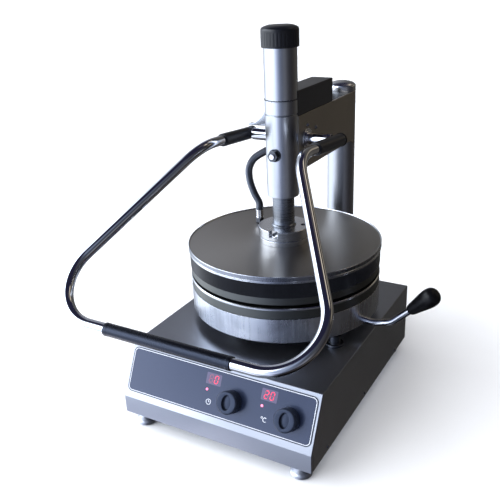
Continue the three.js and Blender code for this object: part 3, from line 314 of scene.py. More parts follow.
# Stainless sheet with a fine satin grain across the case: dull streaks run left to right.
case_steel = surface("satin_stainless_sheet", "#989ba3", 0.31, metallic=0.98, size=0.5, stretch=(60, 1, 1),
    shade=0.1, relief=0.003, anisotropic=0.8, grain="X")
# Stainless column with a satin skin: soft streaks run up it.
column_steel = surface("satin_stainless_column", "#b9bcc2", 0.36, size=0.5, stretch=(1, 1, 80), shade=0.07,
    relief=0.003)
# Stainless tube, drawn and ground: the same streaks on a clearer skin.
drawn_tube = surface("ground_stainless_tube", "#c3c6cc", 0.27, size=0.5, stretch=(1, 1, 80), shade=0.07,
    relief=0.003)
# Bare structural steel, bead blasted: even and dull.
blasted_steel = surface("blasted_stainless_plate", "#b3aca2", 0.45, size=0.7, shade=0.08, relief=0.01)
# Turned steel: fine rings from the lathe.
turned_steel = surface("turned_steel", "#d6d8dd", 0.22, size=0.35, turned=True, shade=0.08,
    spread=0.06, relief=0.004)
# Ground ram rod with a film of oil: darker than the tube round it, with rings of wear.
rod_steel = surface("oiled_ground_rod", "#858990", 0.25, size=0.9, turned=True, shade=0.1, relief=0.001)
# Spun cover: satin rings that draw highlights out into rays from the centre.
spun_cover = surface("spun_satin_steel", "#a8a5a1", 0.32, size=0.45, turned=True, shade=0.05, relief=0.001,
    anisotropic=0.6, **{"Anisotropic Rotation": 0.25})
# Rolled rim of the cover: the same steel, polished by the roller.
rolled_rim = surface("rolled_polished_rim", "#c9ccd2", 0.13, size=0.8, turned=True, shade=0.05, spread=0.04)
# Wall of that rim between its beads: slanted scratches from the roller.
rolled_wall = surface("rolled_scratched_wall", "#7d8088", 0.24, size=1.5, stretch=(1, 1, 9), lean=38,
    shade=0.5, spread=0.12, relief=0.14)
# Polished shell with upright draw marks: narrow bands of light and dark stand on it.
drawn_shell = surface("drawn_polished_shell", "#b9bcc3", 0.24, size=9, stretch=(1, 1, 60), shade=0.42,
    spread=0.07, relief=0.01)
# Chrome plate on bent tube: a nearly clear mirror with a little haze.
chrome = surface("chrome_plate", "#d9dadf", 0.07, size=5, shade=0.02, spread=0.02)
# Bright zinc and turned fittings: clear but slightly grey.
zinc = surface("zinc_plated_steel", "#b3b8c2", 0.22, size=1.2, shade=0.08, spread=0.06)
# Dull zinc on the pressed feet: even light grey.
foot_zinc = surface("dull_zinc_foot", "#c4c8d2", 0.42)
# Dark phosphated nuts and posts: oily grey with worn patches.
dark_nut = surface("phosphated_steel", "#55585f", 0.3, size=0.8, shade=0.12, spread=0.08)
# Flexible metal conduit: blue-grey and lightly oxidised.
conduit_metal = surface("wound_metal_hose", "#5d616b", 0.36, size=1.5, shade=0.12, spread=0.08)
# Cast aluminium hot plates: grey, grainy and matt.
cast_aluminium = surface("cast_aluminium", "#626462", 0.38, size=0.9, shade=0.12, spread=0.06, relief=0.03)
# Machined edge of a hot plate: bright turned aluminium.
machined_edge = surface("machined_aluminium", "#d4d6da", 0.2, size=0.4, turned=True, shade=0.05)
# Stove enamel on the upper band: deep black with faint upright run marks.
black_enamel = coating("gloss_black_enamel", "#0f1014", 0.15, size=3, stretch=(1, 1, 40), shade=0.35,
    spread=0.06, gloss=0.1)
# Moulded nylon: black with a fine spark-eroded grain.
moulded_black = coating("moulded_black_nylon", "#0a0b10", 0.27, size=0.6, shade=0.25, relief=0.02,
    gloss=0.42)
# The same nylon on the two knobs, a little lighter and bluer, with a bluish tint on its sheen.
knob_nylon = coating("moulded_knob_nylon", "#171b25", 0.34, size=0.6, shade=0.25, spread=0.06,
    relief=0.02, tint="#c2d4ff")
# Lever knob in phenolic: smooth satin black.
phenolic = coating("phenolic_knob", "#060608", 0.3, size=3, shade=0.25, spread=0.04, gloss=0.2)
# Rubber sleeve: black with a pebbled skin that breaks up its sheen.
pebbled_rubber = coating("pebbled_rubber", "#040406", 0.2, size=1.8, shade=0.3, spread=0.1,
    relief=0.3, tint="#c8d8ff")
# Printed polyester film: slate blue ink under a satin surface.
slate_film = coating("printed_polyester_film", "#1b2235", 0.22, size=0.8, shade=0.05, spread=0.04,
    relief=0.004, gloss=0.62, tint="#d8e2ff")
# White screen-printed ink on the film, thin and even, and dark ink for painted shade lines at the label's
# edge and along the hem.
white_ink = coating("white_ink", "#dfe3ea", 0.4, size=0.8, shade=0.04)
shade_line_ink = coating("shade_line_ink", "#1d212b", 0.4, size=0.8)
# Smoked acrylic window over the digits, with a little painted glow of the digits in its colour.
smoke_and_glow_window = coating("smoke_and_glow_window", "#4b4560", 0.2, size=3, spread=0.03)
# Lit and unlit light-emitting segments, and the lamp domes: clear red with a soft glow.
lit_red = coating("lit_segment", "#c81e4a", 0.4, shade=0.05,
    **{"Emission Color": linear("#f0204c"), "Emission Strength": 0.45})
dim_red = coating("unlit_segment", "#7a3350", 0.4, shade=0.05)
lamp_red = coating("lit_lamp", "#ff8fae", 0.25, shade=0.05,
    **{"Emission Color": linear("#ff5c86"), "Emission Strength": 0.8})
# Glass-filled board under green resin, and milky acetal pads under the plate.
board_resin = coating("circuit_board_resin", "#2c5a38", 0.45, shade=0.1)
glide_plastic = coating("acetal_pad", "#d9d8d2", 0.4, shade=0.05)


# Shapes: each is a pair of points in mm and faces.


def softened(corners, radii=0.5, steps=4, closed=True):
    """The line through corners with each corner rounded off, in two or three dimensions."""
    line = []
    corners = [Vector(c) for c in corners]
    count = len(corners)
    for i, here in enumerate(corners):
        radius = radii if isinstance(radii, (int, float)) else radii[i]
        back, ahead = corners[i - 1] - here, corners[(i + 1) % count] - here
        corner = back.angle(ahead, pi)
        if (not closed and i in (0, count - 1)) or radius <= 0 or corner > pi - 0.01:
            line.append(here)
            continue
        reach = min(radius / tan(corner / 2), 0.49 * min(back.length, ahead.length))
        radius = reach * tan(corner / 2)
        back, ahead = back.normalized(), ahead.normalized()
        middle = here + (back + ahead).normalized() * radius / sin(corner / 2)
        first, last = here + back * reach - middle, here + ahead * reach - middle
        sweep = pi - corner
        for k in range(steps + 1):
            share = k / steps
            line.append(middle + (first * sin((1 - share) * sweep) + last * sin(share * sweep)) / sin(sweep))
    return line


def bend(start, pull, end, steps):
    """The points after the start of one smooth bend that leaves it towards pull."""
    start, pull, end = Vector(start), Vector(pull), Vector(end)
    shares = [k / steps for k in range(1, steps + 1)]
    return [start * (1 - t) ** 2 + pull * 2 * t * (1 - t) + end * t * t for t in shares]


def between(a, b, start, end, t):
    return a * (end - t) / (end - start) + b * (t - start) / (end - start)


def smooth_line(points, steps):
    """A centripetal curve through the points."""
    points = [Vector(p) for p in points]
    points = [2 * points[0] - points[1]] + points + [2 * points[-1] - points[-2]]
    line = []
    for a, b, c, d in zip(points, points[1:], points[2:], points[3:]):
        knots = [0.0]
        for here, ahead in ((a, b), (b, c), (c, d)):
            knots.append(knots[-1] + sqrt((ahead - here).length))
        t0, t1, t2, t3 = knots
        for k in range(steps):
            t = t1 + (t2 - t1) * k / steps
            ab, bc, cd = between(a, b, t0, t1, t), between(b, c, t1, t2, t), between(c, d, t2, t3, t)
            line.append(between(between(ab, bc, t0, t2, t), between(bc, cd, t1, t3, t), t1, t2, t))
    return line + [points[-2]]


def loft(loops, endless=False, ring=True):
    """Skin over loops of points: each loop joins the next, and the ends are closed."""
    count = len(loops[0])
    points = [Vector(p) for loop in loops for p in loop]
    faces = []
    for i in range(len(loops) if endless else len(loops) - 1):
        a, b = i * count, (i + 1) % len(loops) * count
        for j in range(count if ring else count - 1):
            k = (j + 1) % count
            faces.append((a + j, a + k, b + k, b + j))
    if not endless:
        faces.append(tuple(range(count)))
        faces.append(tuple(range((len(loops) - 1) * count, len(loops) * count)))
    return points, faces


def full_turn(steps):
    return [2 * pi * i / steps for i in range(steps)]


def circle(radius, z, steps, wave=None):
    """A level loop of points. wave gives the change of radius at an angle."""
    reach = [(radius + (wave(a) if wave else 0), a) for a in full_turn(steps)]
    return [(r * cos(a), r * sin(a), z) for r, a in reach]


def oval(wide, long, z, steps):
    return [(wide * cos(a), long * sin(a), z) for a in full_turn(steps)]


def turned(profile, edge=0.5, steps=96):
    """A lathe shape from (radius, height) corners. A third value is that corner's own rounding."""
    on_axis = profile[0][0] == 0
    radii = [c[2] if len(c) > 2 else edge for c in profile]
    line = softened([c[:2] for c in profile], radii, closed=not on_axis)
    loops = [circle(r, z, steps) for r, z in line if r > 0.001]
    return loft(loops, endless=not on_axis)


def inset(outline, amount, closed=True):
    """The outline moved inwards by an amount."""
    area = sum(a.cross(b) for a, b in zip(outline, outline[1:] + outline[:1]))
    side = 1 if area > 0 else -1
    result = []
    for i, p in enumerate(outline):
        a, b = p - outline[i - 1], outline[(i + 1) % len(outline)] - p
        if not closed and i == 0:
            a = b
        if not closed and i == len(outline) - 1:
            b = a
        na = Vector((-a.y, a.x)).normalized() * side
        nb = Vector((-b.y, b.x)).normalized() * side
        result.append(p + (na + nb) / (1 + na.dot(nb)) * amount)
    return result


def slab(outline, low, high, edge=0.8, steps=3, closed=True):
    """A plate of that outline with rounded rims. An open outline leaves its last side out."""
    outline = [Vector(p) for p in outline]
    quarter = [k * pi / 2 / steps for k in range(steps + 1)]
    rims = [(edge * (1 - sin(a)), edge * (1 - cos(a))) for a in quarter]
    levels = [(i, low + z) for i, z in rims] + [(i, high - z) for i, z in reversed(rims)]
    loops = [[(p.x, p.y, z) for p in inset(outline, i, closed)] for i, z in levels]
    return loft(loops, ring=closed)


def tube(path, radius, sides=24):
    """A round bar along a path. radius may be a function of the place along it in mm."""
    path = [Vector(p) for p in path]
    loops = []
    along = 0.0
    up = None
    for i, p in enumerate(path):
        heading = (path[min(i + 1, len(path) - 1)] - path[max(i - 1, 0)]).normalized()
        if up is None:
            up = heading.orthogonal()
        up = (up - heading * up.dot(heading)).normalized()
        side = heading.cross(up)
        if i:
            along += (p - path[i - 1]).length
        reach = radius(along) if callable(radius) else radius
        loops.append([p + (up * cos(a) + side * sin(a)) * reach for a in full_turn(sides)])
    return loft(loops)


def rectangle(width, height, x=0, y=0):
    w, h = width / 2, height / 2
    return [(x - w, y - h), (x + w, y - h), (x + w, y + h), (x - w, y + h)]


def hexagon(flat):
    """Corners of a nut that measures flat across its flats."""
    return [(x, y) for x, y, _ in circle(flat / sqrt(3), 0, 6)]


def joined(*shapes):
    points, faces = [], []
    for more_points, more_faces in shapes:
        start = len(points)
        points += more_points
        faces += [tuple(start + i for i in face) for face in more_faces]
    return points, faces


def moved(shape, matrix):
    return [matrix @ p for p in shape[0]], shape[1]


SHARP_CORNER = 32


def piece(name, body, shape, finish, at=HERE, stands_for=None, sharp=SHARP_CORNER):
    """A mesh piece in its place on a body of the press. It may stand for a node of the frame."""
    mesh = bpy.data.meshes.new(name)
    mesh.from_pydata([Vector(p) * MM for p in shape[0]], [], shape[1])
    work = bmesh.new()
    work.from_mesh(mesh)
    bmesh.ops.recalc_face_normals(work, faces=work.faces)
    work.to_mesh(mesh)
    work.free()
    mesh.shade_smooth()
    mesh.set_sharp_from_angle(angle=radians(sharp))
    mesh.materials.append(finish)
    made = put(name, mesh)
    spot = at.copy()
    spot.translation = RAM_AXIS + at.translation * MM
    made.matrix_world = spot
    made.modifiers.new("even_light", "WEIGHTED_NORMAL").keep_sharp = True
    if body:
        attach(made, body)
    if stands_for:
        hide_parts(stands_for)
    return made


def carve(target, shape, at=HERE):
    """Cuts a shape, placed like a piece, out of a piece."""
    cutter = piece("cutter", None, shape, target.data.materials[0], at)
    bpy.context.view_layer.update()
    cut = target.modifiers.new("cut", "BOOLEAN")
    cut.operation, cut.solver, cut.object = "DIFFERENCE", "EXACT", cutter
    even = target.modifiers.get("even_light")
    even.show_viewport = even.show_render = False
    bpy.context.view_layer.update()
    seen = bpy.context.evaluated_depsgraph_get()
    mesh = bpy.data.meshes.new_from_object(target.evaluated_get(seen), depsgraph=seen)
    target.modifiers.remove(cut)
    old, target.data = target.data, mesh
    bpy.data.meshes.remove(old)
    even.show_viewport = even.show_render = True
    bpy.data.objects.remove(cutter)
    mesh.set_sharp_from_angle(angle=radians(SHARP_CORNER))


def paint(target, finish, test):
    """Gives the faces that pass the test another finish. The test sees a face's middle in mm."""
    target.data.materials.append(finish)
    index = len(target.data.materials) - 1
    for face in target.data.polygons:
        if test(face.center / MM):
            face.material_index = index


# Turns a flat shape so that its first axis runs back, its second up and its height right.
SIDEWAYS = Matrix(((0, 0, 1, 0), (1, 0, 0, 0), (0, 1, 0, 0), (0, 0, 0, 1)))
TO_RIGHT, TO_LEFT = tilt(90, "Y"), tilt(-90, "Y")
TO_FRONT, TO_REAR = tilt(90, "X"), tilt(-90, "X")
SIDES = (("right", 1, TO_RIGHT), ("left", -1, TO_LEFT))


def screw(name, at, radius, height):
    """A pan-head screw with a cross recess, standing along its own z."""
    profile = [(0, 0), (radius, 0), (radius, height * 0.45), (radius * 0.55, height, 1.2), (0, height)]
    head = piece(name, "frame", turned(profile, 0.4, 32), zinc, at)
    for turn in (0, 90):
        bar = slab(softened(rectangle(radius * 1.1, radius * 0.28), 0.1), height * 0.55, height + 1, 0.05, 1)
        carve(head, bar, at @ tilt(turn, "Z"))


# Case and feet.

CASE_HALF = 210
FRONT, SLOPE_TOP, REAR = -321, -270.5, 214
FOOT, RAIL_TOP, DECK = 30, 68, 168
FOLD, SHEET, RAW_EDGE = 3.5, 1.5, 1.6
HEM, SCORE_WIDTH, SCORE_DEPTH = 8, 1, 0.04
PAN_SCREW_ROW, PAN_SCREW_HEIGHT = (-250, -60, 130), 40
FOOT_X, FOOT_FRONT, FOOT_REAR = 178, -296, 186


def make_case():
    corners = [(REAR, FOOT), (REAR, DECK), (SLOPE_TOP, DECK), (FRONT, RAIL_TOP), (FRONT, FOOT)]
    outline = softened(corners, FOLD, steps=5, closed=False)
    skin = slab(outline, -CASE_HALF, CASE_HALF, RAW_EDGE, 3, closed=False)
    case = piece("case_skin", "frame", skin, case_steel, SIDEWAYS, "case_shell", 40)
    wall = case.modifiers.new("sheet", "SOLIDIFY")
    wall.thickness = SHEET * MM
    wall.offset = -1
    # the sheet is thickened before its light is evened
    case.modifiers.move(1, 0)
    # painted shade line along the folded front hem, and the screws that hold the pan
    near, far, low, high = FRONT + HEM, FRONT + HEM + SCORE_WIDTH, FOOT + 1, RAIL_TOP - 3
    score = softened([(near, low), (far, low), (far, high), (near, high)], 0.2)
    score = slab(score, -SCORE_DEPTH, SCORE_DEPTH, 0.01, 1)
    for name, side, turn in reversed(SIDES):
        x = side * CASE_HALF
        piece(f"hem_shade_line_{name}", "frame", score, shade_line_ink, shift(x) @ SIDEWAYS)
        for i, y in enumerate(PAN_SCREW_ROW):
            screw(f"pan_screw_{name}_{i + 1}", shift(x, y, PAN_SCREW_HEIGHT) @ turn, 3.4, 2)


def make_feet():
    sole, neck, top = 1.6, 7.2, FOOT - SEAT
    cup = [(0, sole), (19.6, sole), (20.6, 2.8), (20.6, 8.4), (18.4, 11), (10, 17.5), (neck, 20),
        (neck, top), (0, top)]
    pad = [(0, 0), (15.6, 0), (16, 0.6), (16, 1.5), (0, 1.5)]
    for end, y in (("front", FOOT_FRONT), ("rear", FOOT_REAR)):
        for side, x in (("left", -FOOT_X), ("right", FOOT_X)):
            name, spot = f"{end}_{side}", shift(x, y)
            piece(f"foot_cup_{name}", "frame", turned(cup, 0.9, 48), foot_zinc, spot)
            piece(f"foot_pad_{name}", "frame", turned(pad, 0.3, 48), pebbled_rubber, spot, f"foot_{name}")


# Sloped control panel. Its places are measured along the slope from the deck's fold.

SLOPE = 63.21
PANEL = shift(0, SLOPE_TOP, DECK) @ tilt(SLOPE, "X")
LABEL_TOP, LABEL_BOTTOM, LABEL_HALF, LABEL_CORNER = 7.5, 98.5, 205, 11
LABEL_FACE, INK_FACE = 1.1, 1.16
SPACING = 120
KNOB_X, KNOB_DOWN = 35.5, 60
DISPLAY_X, DISPLAY_DOWN = -10.6, 28.7
LAMP_X, LAMP_DOWN, LAMP_RADIUS = -21.6, 50.4, 2.6
WINDOW_WIDE, WINDOW_TALL, INSIDE = 33, 22, -23
DIGIT_WIDE, DIGIT_TALL, DIGIT_LEAN, DIGIT_X = 7, 14.5, 0.14, 5.9
BAR_WIDE, BAR_GAP = 1.9, 0.55


def ink_section(outer, inner):
    return (outer, LABEL_FACE), (outer, INK_FACE), (inner, INK_FACE), (inner, LABEL_FACE)


def ink_line(outline, wide=1):
    """A thin line of ink that follows inside a closed outline."""
    sections = ink_section(outline, inset(outline, wide))
    return loft([[(p.x, p.y, z) for p in line] for line, z in sections], endless=True)


def ink_arc(x, y, radius, wide, start=0, end=360, steps=20):
    angles = [radians(start + (end - start) * k / steps) for k in range(steps + 1)]
    sections = ink_section(radius, radius - wide)
    return loft([[(x + r * cos(a), y + r * sin(a), z) for r, z in sections] for a in angles])


def ink_bar(width, height, x=0, y=0):
    return slab(softened(rectangle(width, height, x, y), 0.1), LABEL_FACE, INK_FACE, 0.01, 1)


def segment_bars(digit_x, lit, low, high):
    """Two lists of bars, lit and unlit, for one slanted seven-segment digit."""
    side, half, rise = DIGIT_WIDE / 2, DIGIT_TALL / 2, DIGIT_TALL / 4
    places = {
        "a": (0, half, 0), "g": (0, 0, 0), "d": (0, -half, 0),
        "f": (-side, rise, 90), "b": (side, rise, 90), "e": (-side, -rise, 90), "c": (side, -rise, 90),
    }
    lean = HERE.copy()
    lean[0][1] = DIGIT_LEAN
    on, off = [], []
    for key, (x, y, turn) in places.items():
        tip, thick = (half if turn else DIGIT_WIDE) / 2 - BAR_GAP, BAR_WIDE / 2
        end = tip - thick
        bar = [(-tip, 0), (-end, thick), (end, thick), (tip, 0), (end, -thick), (-end, -thick)]
        placed = moved(slab(bar, low, high, 0.05, 1), shift(digit_x) @ lean @ shift(x, y) @ tilt(turn, "Z"))
        (on if key in lit else off).append(placed)
    return on, off


def make_panel():
    middle = -(LABEL_TOP + LABEL_BOTTOM) / 2
    outline = softened(rectangle(2 * LABEL_HALF, LABEL_BOTTOM - LABEL_TOP, 0, middle), LABEL_CORNER, steps=8)
    piece("label_film", "frame", slab(outline, SEAT, LABEL_FACE, 0.25, 2), slate_film, PANEL,
        "control_label")
    # a dark line of painted shade along the film's edge
    piece("label_edge_shade_line", "frame", ink_line(inset(outline, 0.3)), shade_line_ink, PANEL)
    piece("label_white_line", "frame", ink_line(inset(outline, 2.4)), white_ink, PANEL)
    glass = LABEL_FACE + 0.02
    window = slab(softened(rectangle(WINDOW_WIDE, WINDOW_TALL), 1.5), INSIDE - 0.7, glass, 0.1, 1)
    for name, x, tens in (("timer", DISPLAY_X, ""), ("heat", DISPLAY_X + SPACING, "abged")):
        spot = PANEL @ shift(x, -DISPLAY_DOWN)
        piece(f"{name}_window", "frame", window, smoke_and_glow_window, spot, f"{name}_display")
        for state, finish, group in (("lit", lit_red, 0), ("unlit", dim_red, 1)):
            bars = []
            for digit_x, lit in ((-DIGIT_X, tens), (DIGIT_X, "abcdef")):
                bars += segment_bars(digit_x, lit, glass, LABEL_FACE + 0.2)[group]
            if bars:
                piece(f"{name}_{state}_bars", "frame", joined(*bars), finish, spot)
    dome = turned([(0, INSIDE), (LAMP_RADIUS, INSIDE), (LAMP_RADIUS, LABEL_FACE + 0.4, 0.3),
        (1.8, LABEL_FACE + 1, 0.6), (0, LABEL_FACE + 1.2)], 0.1, 24)
    for name, x in (("timer", LAMP_X), ("heat", LAMP_X + SPACING)):
        piece(f"{name}_lamp_dome", "frame", dome, lamp_red, PANEL @ shift(x, -LAMP_DOWN), f"{name}_lamp")
    # clock face beside the timer knob, and the degree sign beside the other
    clock = joined(ink_arc(0, 0, 5.4, 0.8), ink_bar(0.8, 4.2, 0, 1.7), ink_bar(3.2, 0.8, 1.3))
    piece("clock_sign", "frame", clock, white_ink, PANEL @ shift(-13.8, -72.8))
    sign = joined(ink_arc(-5.2, 3.4, 1.9, 0.7), ink_arc(1.6, 0, 4.4, 1, 50, 310))
    piece("celsius_sign", "frame", sign, white_ink, PANEL @ shift(107.3, -74.3))


def make_knob(name, x):
    """A moulded knob with a straight side and an oval finger dish."""
    steps, radius = 64, 22
    foot = LABEL_FACE + 2
    top = foot + 21
    side = softened([(20.5, foot), (radius, foot + 0.8), (radius, top - 2.6), (19.8, top - 0.3),
        (17.5, top)], 1.2, closed=False)
    dish = ((10.4, 15.2, 0.1), (9.6, 14.5, 0.5), (9.2, 14.1, 1.4), (8.4, 13.2, 5.4), (7.6, 12.4, 6),
        (4.6, 8, 5.7), (1, 2, 5.4))
    loops = [circle(r, z, steps) for r, z in side]
    loops += [oval(wide, long, top - depth, steps) for wide, long, depth in dish]
    piece(f"{name}_knob_body", f"{name}_dial", loft(loops), knob_nylon, PANEL @ shift(x, -KNOB_DOWN),
        f"{name}_knob")


# Column, arm and ram guide.

COLUMN_Y, COLUMN_RADIUS, COLUMN_BORE = 310, 32.5, 29
COLUMN_FOOT, COLUMN_TOP = 34, 590.5
CHEEK_OUT, CHEEK_IN = 33.5, 28.5
CHEEK_FRONT, CHEEK_LOW, CHEEK_TOP = 8, 478, 590.8
SHAFT_Y, SHAFT_Z = 42, 540
SHAFT = shift(0, SHAFT_Y, SHAFT_Z)
TUBE_RADIUS = 33.2
SOCKET_X, SOCKET_TILT = 102, 4.6


def make_column():
    column = turned([(COLUMN_BORE, COLUMN_FOOT), (COLUMN_RADIUS, COLUMN_FOOT), (COLUMN_RADIUS, COLUMN_TOP),
        (COLUMN_BORE, COLUMN_TOP)], 0.6)
    piece("column_tube", "frame", column, column_steel, shift(0, COLUMN_Y), "rear_column")
    low, plug = COLUMN_TOP + SEAT, 28.7
    side, rise = 11, 12
    cap = [(0, low - 16), (plug, low - 16), (plug, low), (COLUMN_RADIUS, low, 0.5),
        (COLUMN_RADIUS, low + side, 2.5)]
    for degrees in range(12, 90, 6):
        a = radians(degrees)
        cap.append((COLUMN_RADIUS * cos(a), low + side + rise * sin(a), 0))
    cap.append((0, low + side + rise))
    piece("column_dome", "frame", turned(cap, 0.3), turned_steel, shift(0, COLUMN_Y), "column_cap")
    # bolted plate, two cheeks and a back block that hold the column behind the case
    front, middle, tall = REAR + SEAT, 100, 120
    plate = slab(softened(rectangle(104, tall, 0, middle), 6, steps=5), 0, 6, 0.8)
    cheeks = [slab(softened(rectangle(8, tall, side * 23, middle), 1), 4, 80, 0.8) for side in (-1, 1)]
    back = slab(softened(rectangle(52, tall, 0, middle), 1), 54, 63, 0.8)
    spot = shift(0, front) @ TO_REAR @ tilt(180, "Z")
    piece("saddle_plate", "frame", joined(plate, back, *cheeks), blasted_steel, spot, "column_saddle")
    washer = turned([(0, 0), (9, 0), (9, 1.6), (0, 1.6)], 0.3, 40)
    bolt = joined(washer, slab(softened(hexagon(13), 0.8, steps=2), 1.6, 7, 0.8))
    for i, (x, z) in enumerate(((-43, 55), (43, 55), (-43, 145), (43, 145))):
        piece(f"saddle_bolt_{i + 1}", "frame", bolt, zinc, shift(x, front + 6, z) @ TO_REAR)


def make_arm():
    edge_y, flare = COLUMN_Y - COLUMN_RADIUS, 12
    outline = [(CHEEK_FRONT, CHEEK_LOW), (edge_y, CHEEK_LOW)]
    outline += bend((edge_y, CHEEK_LOW), (edge_y + flare, CHEEK_LOW), (COLUMN_Y, CHEEK_LOW - flare), 8)
    outline += [(COLUMN_Y, CHEEK_TOP), (CHEEK_FRONT, CHEEK_TOP)]
    for name, low, high in (("right", CHEEK_IN, CHEEK_OUT), ("left", -CHEEK_OUT, -CHEEK_IN)):
        piece(f"cheek_{name}", "frame", slab(outline, low, high, 0.8), blasted_steel, SIDEWAYS,
            f"arm_cheek_{name}")
    low, tall = CHEEK_TOP + SEAT, 50
    box = slab(softened(rectangle(50, 174, 8.5, 91), 2.2, steps=5), low, low + tall, 1.6)
    piece("switch_box", "frame", box, moulded_black, HERE, "switch_housing")
    for i, (y, z) in enumerate(((88, 553), (48.5, 566))):
        screw(f"cheek_screw_{i + 1}", shift(CHEEK_OUT, y, z) @ TO_RIGHT, 4.4, 3.2)


def make_stop():
    """A bent sheet bracket whose foot lies just over the raised left socket."""
    socket_radius, sheet, inner, tip, run = 13, 3, -43, -110, 44
    under = SHAFT_Z + socket_radius / cos(radians(SOCKET_TILT)) + 0.8
    low, root = SHAFT_Z + 21.8, -CHEEK_OUT - SEAT
    web = [(root, low), (inner, low), (inner, under), (tip, under), (tip, under + sheet)]
    web += bend((tip, under + sheet), (tip + 0.6 * run, under + sheet), (tip + run, CHEEK_TOP), 12)
    web.append((root, CHEEK_TOP))
    upright = moved(slab(web, 0, sheet, 0.6), TO_FRONT)
    foot = slab(softened(rectangle(inner - tip, 14, (tip + inner) / 2, 4), 2), under, under + sheet, 0.6)
    piece("stop_web", "frame", joined(upright, foot), zinc, shift(0, 60.2), "stop_bracket")


def make_tubes():
    bore, groove, seam = 23.1, 31.6, 596.4
    lower = turned([
        (bore, 428.7), (32.4, 428.7, 0.6), (32.7, 429.8, 0.3), (32.7, 453.7, 0.2), (TUBE_RADIUS, 453.9, 0.2),
        (TUBE_RADIUS, 595, 0.6), (groove, 595.8, 0.2), (groove, seam), (bore, seam)], 0.3)
    piece("guide_tube", "frame", lower, drawn_tube, HERE, "ram_tube")
    low = seam + SEAT
    collar = turned([(bore, low), (groove, low), (groove, 597.2, 0.2), (TUBE_RADIUS, 598.2, 0.6),
        (TUBE_RADIUS, 624.4, 0.6), (bore, 625.2)], 0.3)
    piece("guide_collar", "frame", collar, drawn_tube, HERE, "tube_collar")
    upper = turned([(29.8, 625.5), (32.8, 625.5), (32.8, 760), (29.8, 760)], 0.5)
    piece("upper_tube", "frame", upper, drawn_tube, HERE, "spring_tube")
    # rough bead of weld between collar and upper tube
    bead = []
    for a in full_turn(240):
        lift = 0.8 * sin(29 * a) * sin(5 * a + 1) + 0.5 * sin(53 * a)
        swell = 0.8 + 0.4 * sin(41 * a + 2) * sin(3 * a)
        ring = [(32.9 + swell * cos(b), 625.4 + lift + swell * sin(b)) for b in full_turn(8)]
        bead.append([(r * cos(a), r * sin(a), z) for r, z in ring])
    piece("weld_bead", "frame", loft(bead, endless=True), dark_nut, HERE)


def make_cap():
    """A fluted cap: 32 flutes run up its side between two plain rings."""
    steps, skirt, side, flute_low, flute_high = 256, 33.1, 37, 728, 751

    def flute(angle):
        return -0.45 * max(0, cos(32 * angle)) ** 2

    profile = [(skirt, 760.3), (skirt, 723.5), (36.2, 723.5), (side, 724.3), (side, 727.5), (side, 728.5),
        (side, 750), (side, 751.5), (side, 754.5), (36.8, 756.4), (36.1, 758.2), (34.6, 759.7),
        (31.5, 761.2), (26.5, 762.9), (23.5, 763.6), (22.6, 763.4), (22, 763.4), (12, 764.4)]
    loops = [circle(r, z, steps, flute if flute_low < z < flute_high else None) for r, z in profile]
    piece("cap_shell", "frame", loft(loops), moulded_black, HERE, "top_cap")


def make_ram():
    rod, rod_low, rod_top = 22.8, 363.3, 690
    foot = [(0, rod_low), (26, rod_low, 0.4), (26, 364.2, 0.6), (24.2, 366.4, 1.2), (rod, 367.4, 0.4)]
    piece("ram_bar", "ram", turned(foot + [(rod, rod_top, 1.5), (0, rod_top)]), rod_steel, HERE, "ram_rod")
    low, top, radius = 343.5, 363, 53.7
    disc = turned([(0, low), (radius, low, 0.5), (radius, top, 1.6), (0, top)], 0.5, 128)
    flange = piece("ram_collar", "ram", disc, turned_steel, HERE, "ram_flange")
    hole = turned([(0, low - 3.5), (5.8, low - 3.5), (5.8, top + 7), (0, top + 7)], 0, 32)
    bolt = turned([(0, 348), (5.5, 348), (5.5, 355, 0.5), (2.5, 355, 0.1), (2.5, 351), (0, 351)], 0.1, 32)
    bolt_circle, first_bolt = 41, 18.4
    for i in range(2):
        a = radians(first_bolt + 90 * i)
        spot = shift(bolt_circle * cos(a), bolt_circle * sin(a))
        carve(flange, hole, spot)
        piece(f"collar_bolt_{i + 1}", "ram", bolt, dark_nut, spot)
    # notch in the flange's front with the grub screw that grips the rod
    notch_turn = tilt(-88, "Z")
    carve(flange, slab(softened(rectangle(26, 20, 57.7, 0), 1), 350, 370, 0.2, 1), notch_turn)
    grub = turned([(0, 0), (3.6, 0), (3.6, 6.5), (1.6, 6.5), (1.6, 4), (0, 4)], 0.2, 24)
    piece("collar_grub", "ram", grub, dark_nut, notch_turn @ shift(44, 0, 356) @ TO_RIGHT)
    hub = turned([(0, 288.8), (40, 288.8), (40, 329.5), (52.6, 329.5), (52.6, 340.6, 1.2),
        (49.6, 341.6, 0.3), (49.6, 343.2), (0, 343.2)], 0.6, 128)
    piece("hub_block", "ram", hub, turned_steel, HERE, "pressure_hub")


def make_spring():
    turns, low, high, mean, wire = 8, 627.25, 688.25, 27.2, 1.75
    steps = 40 * turns
    path = []
    for k in range(steps + 1):
        a = 2 * pi * turns * k / steps
        path.append((mean * cos(a), mean * sin(a), low + (high - low) * k / steps))
    coil = piece("spring_coil", None, tube(path, wire, 12), zinc, HERE)
    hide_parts("return_spring")
    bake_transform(coil)


def make_guide_screw():
    spot = shift(0, 0, 519) @ TO_FRONT
    face, washer_face = TUBE_RADIUS, TUBE_RADIUS + 2.3
    washer = turned([(0, face - 1.5), (13, face - 1.5), (13, washer_face, 0.5), (0, washer_face)], 0.3, 48)
    nut = slab(softened(hexagon(20.5), 1.6, steps=3), washer_face, face + 11.3, 1.6)
    stub = turned([(0, face + 11), (6, face + 11), (6, face + 14.5, 1.6), (0, face + 16.3)], 0.3, 32)
    piece("guide_nut", "frame", joined(washer, nut), dark_nut, spot, "guide_screw")
    piece("guide_stub", "frame", stub, chrome, spot)


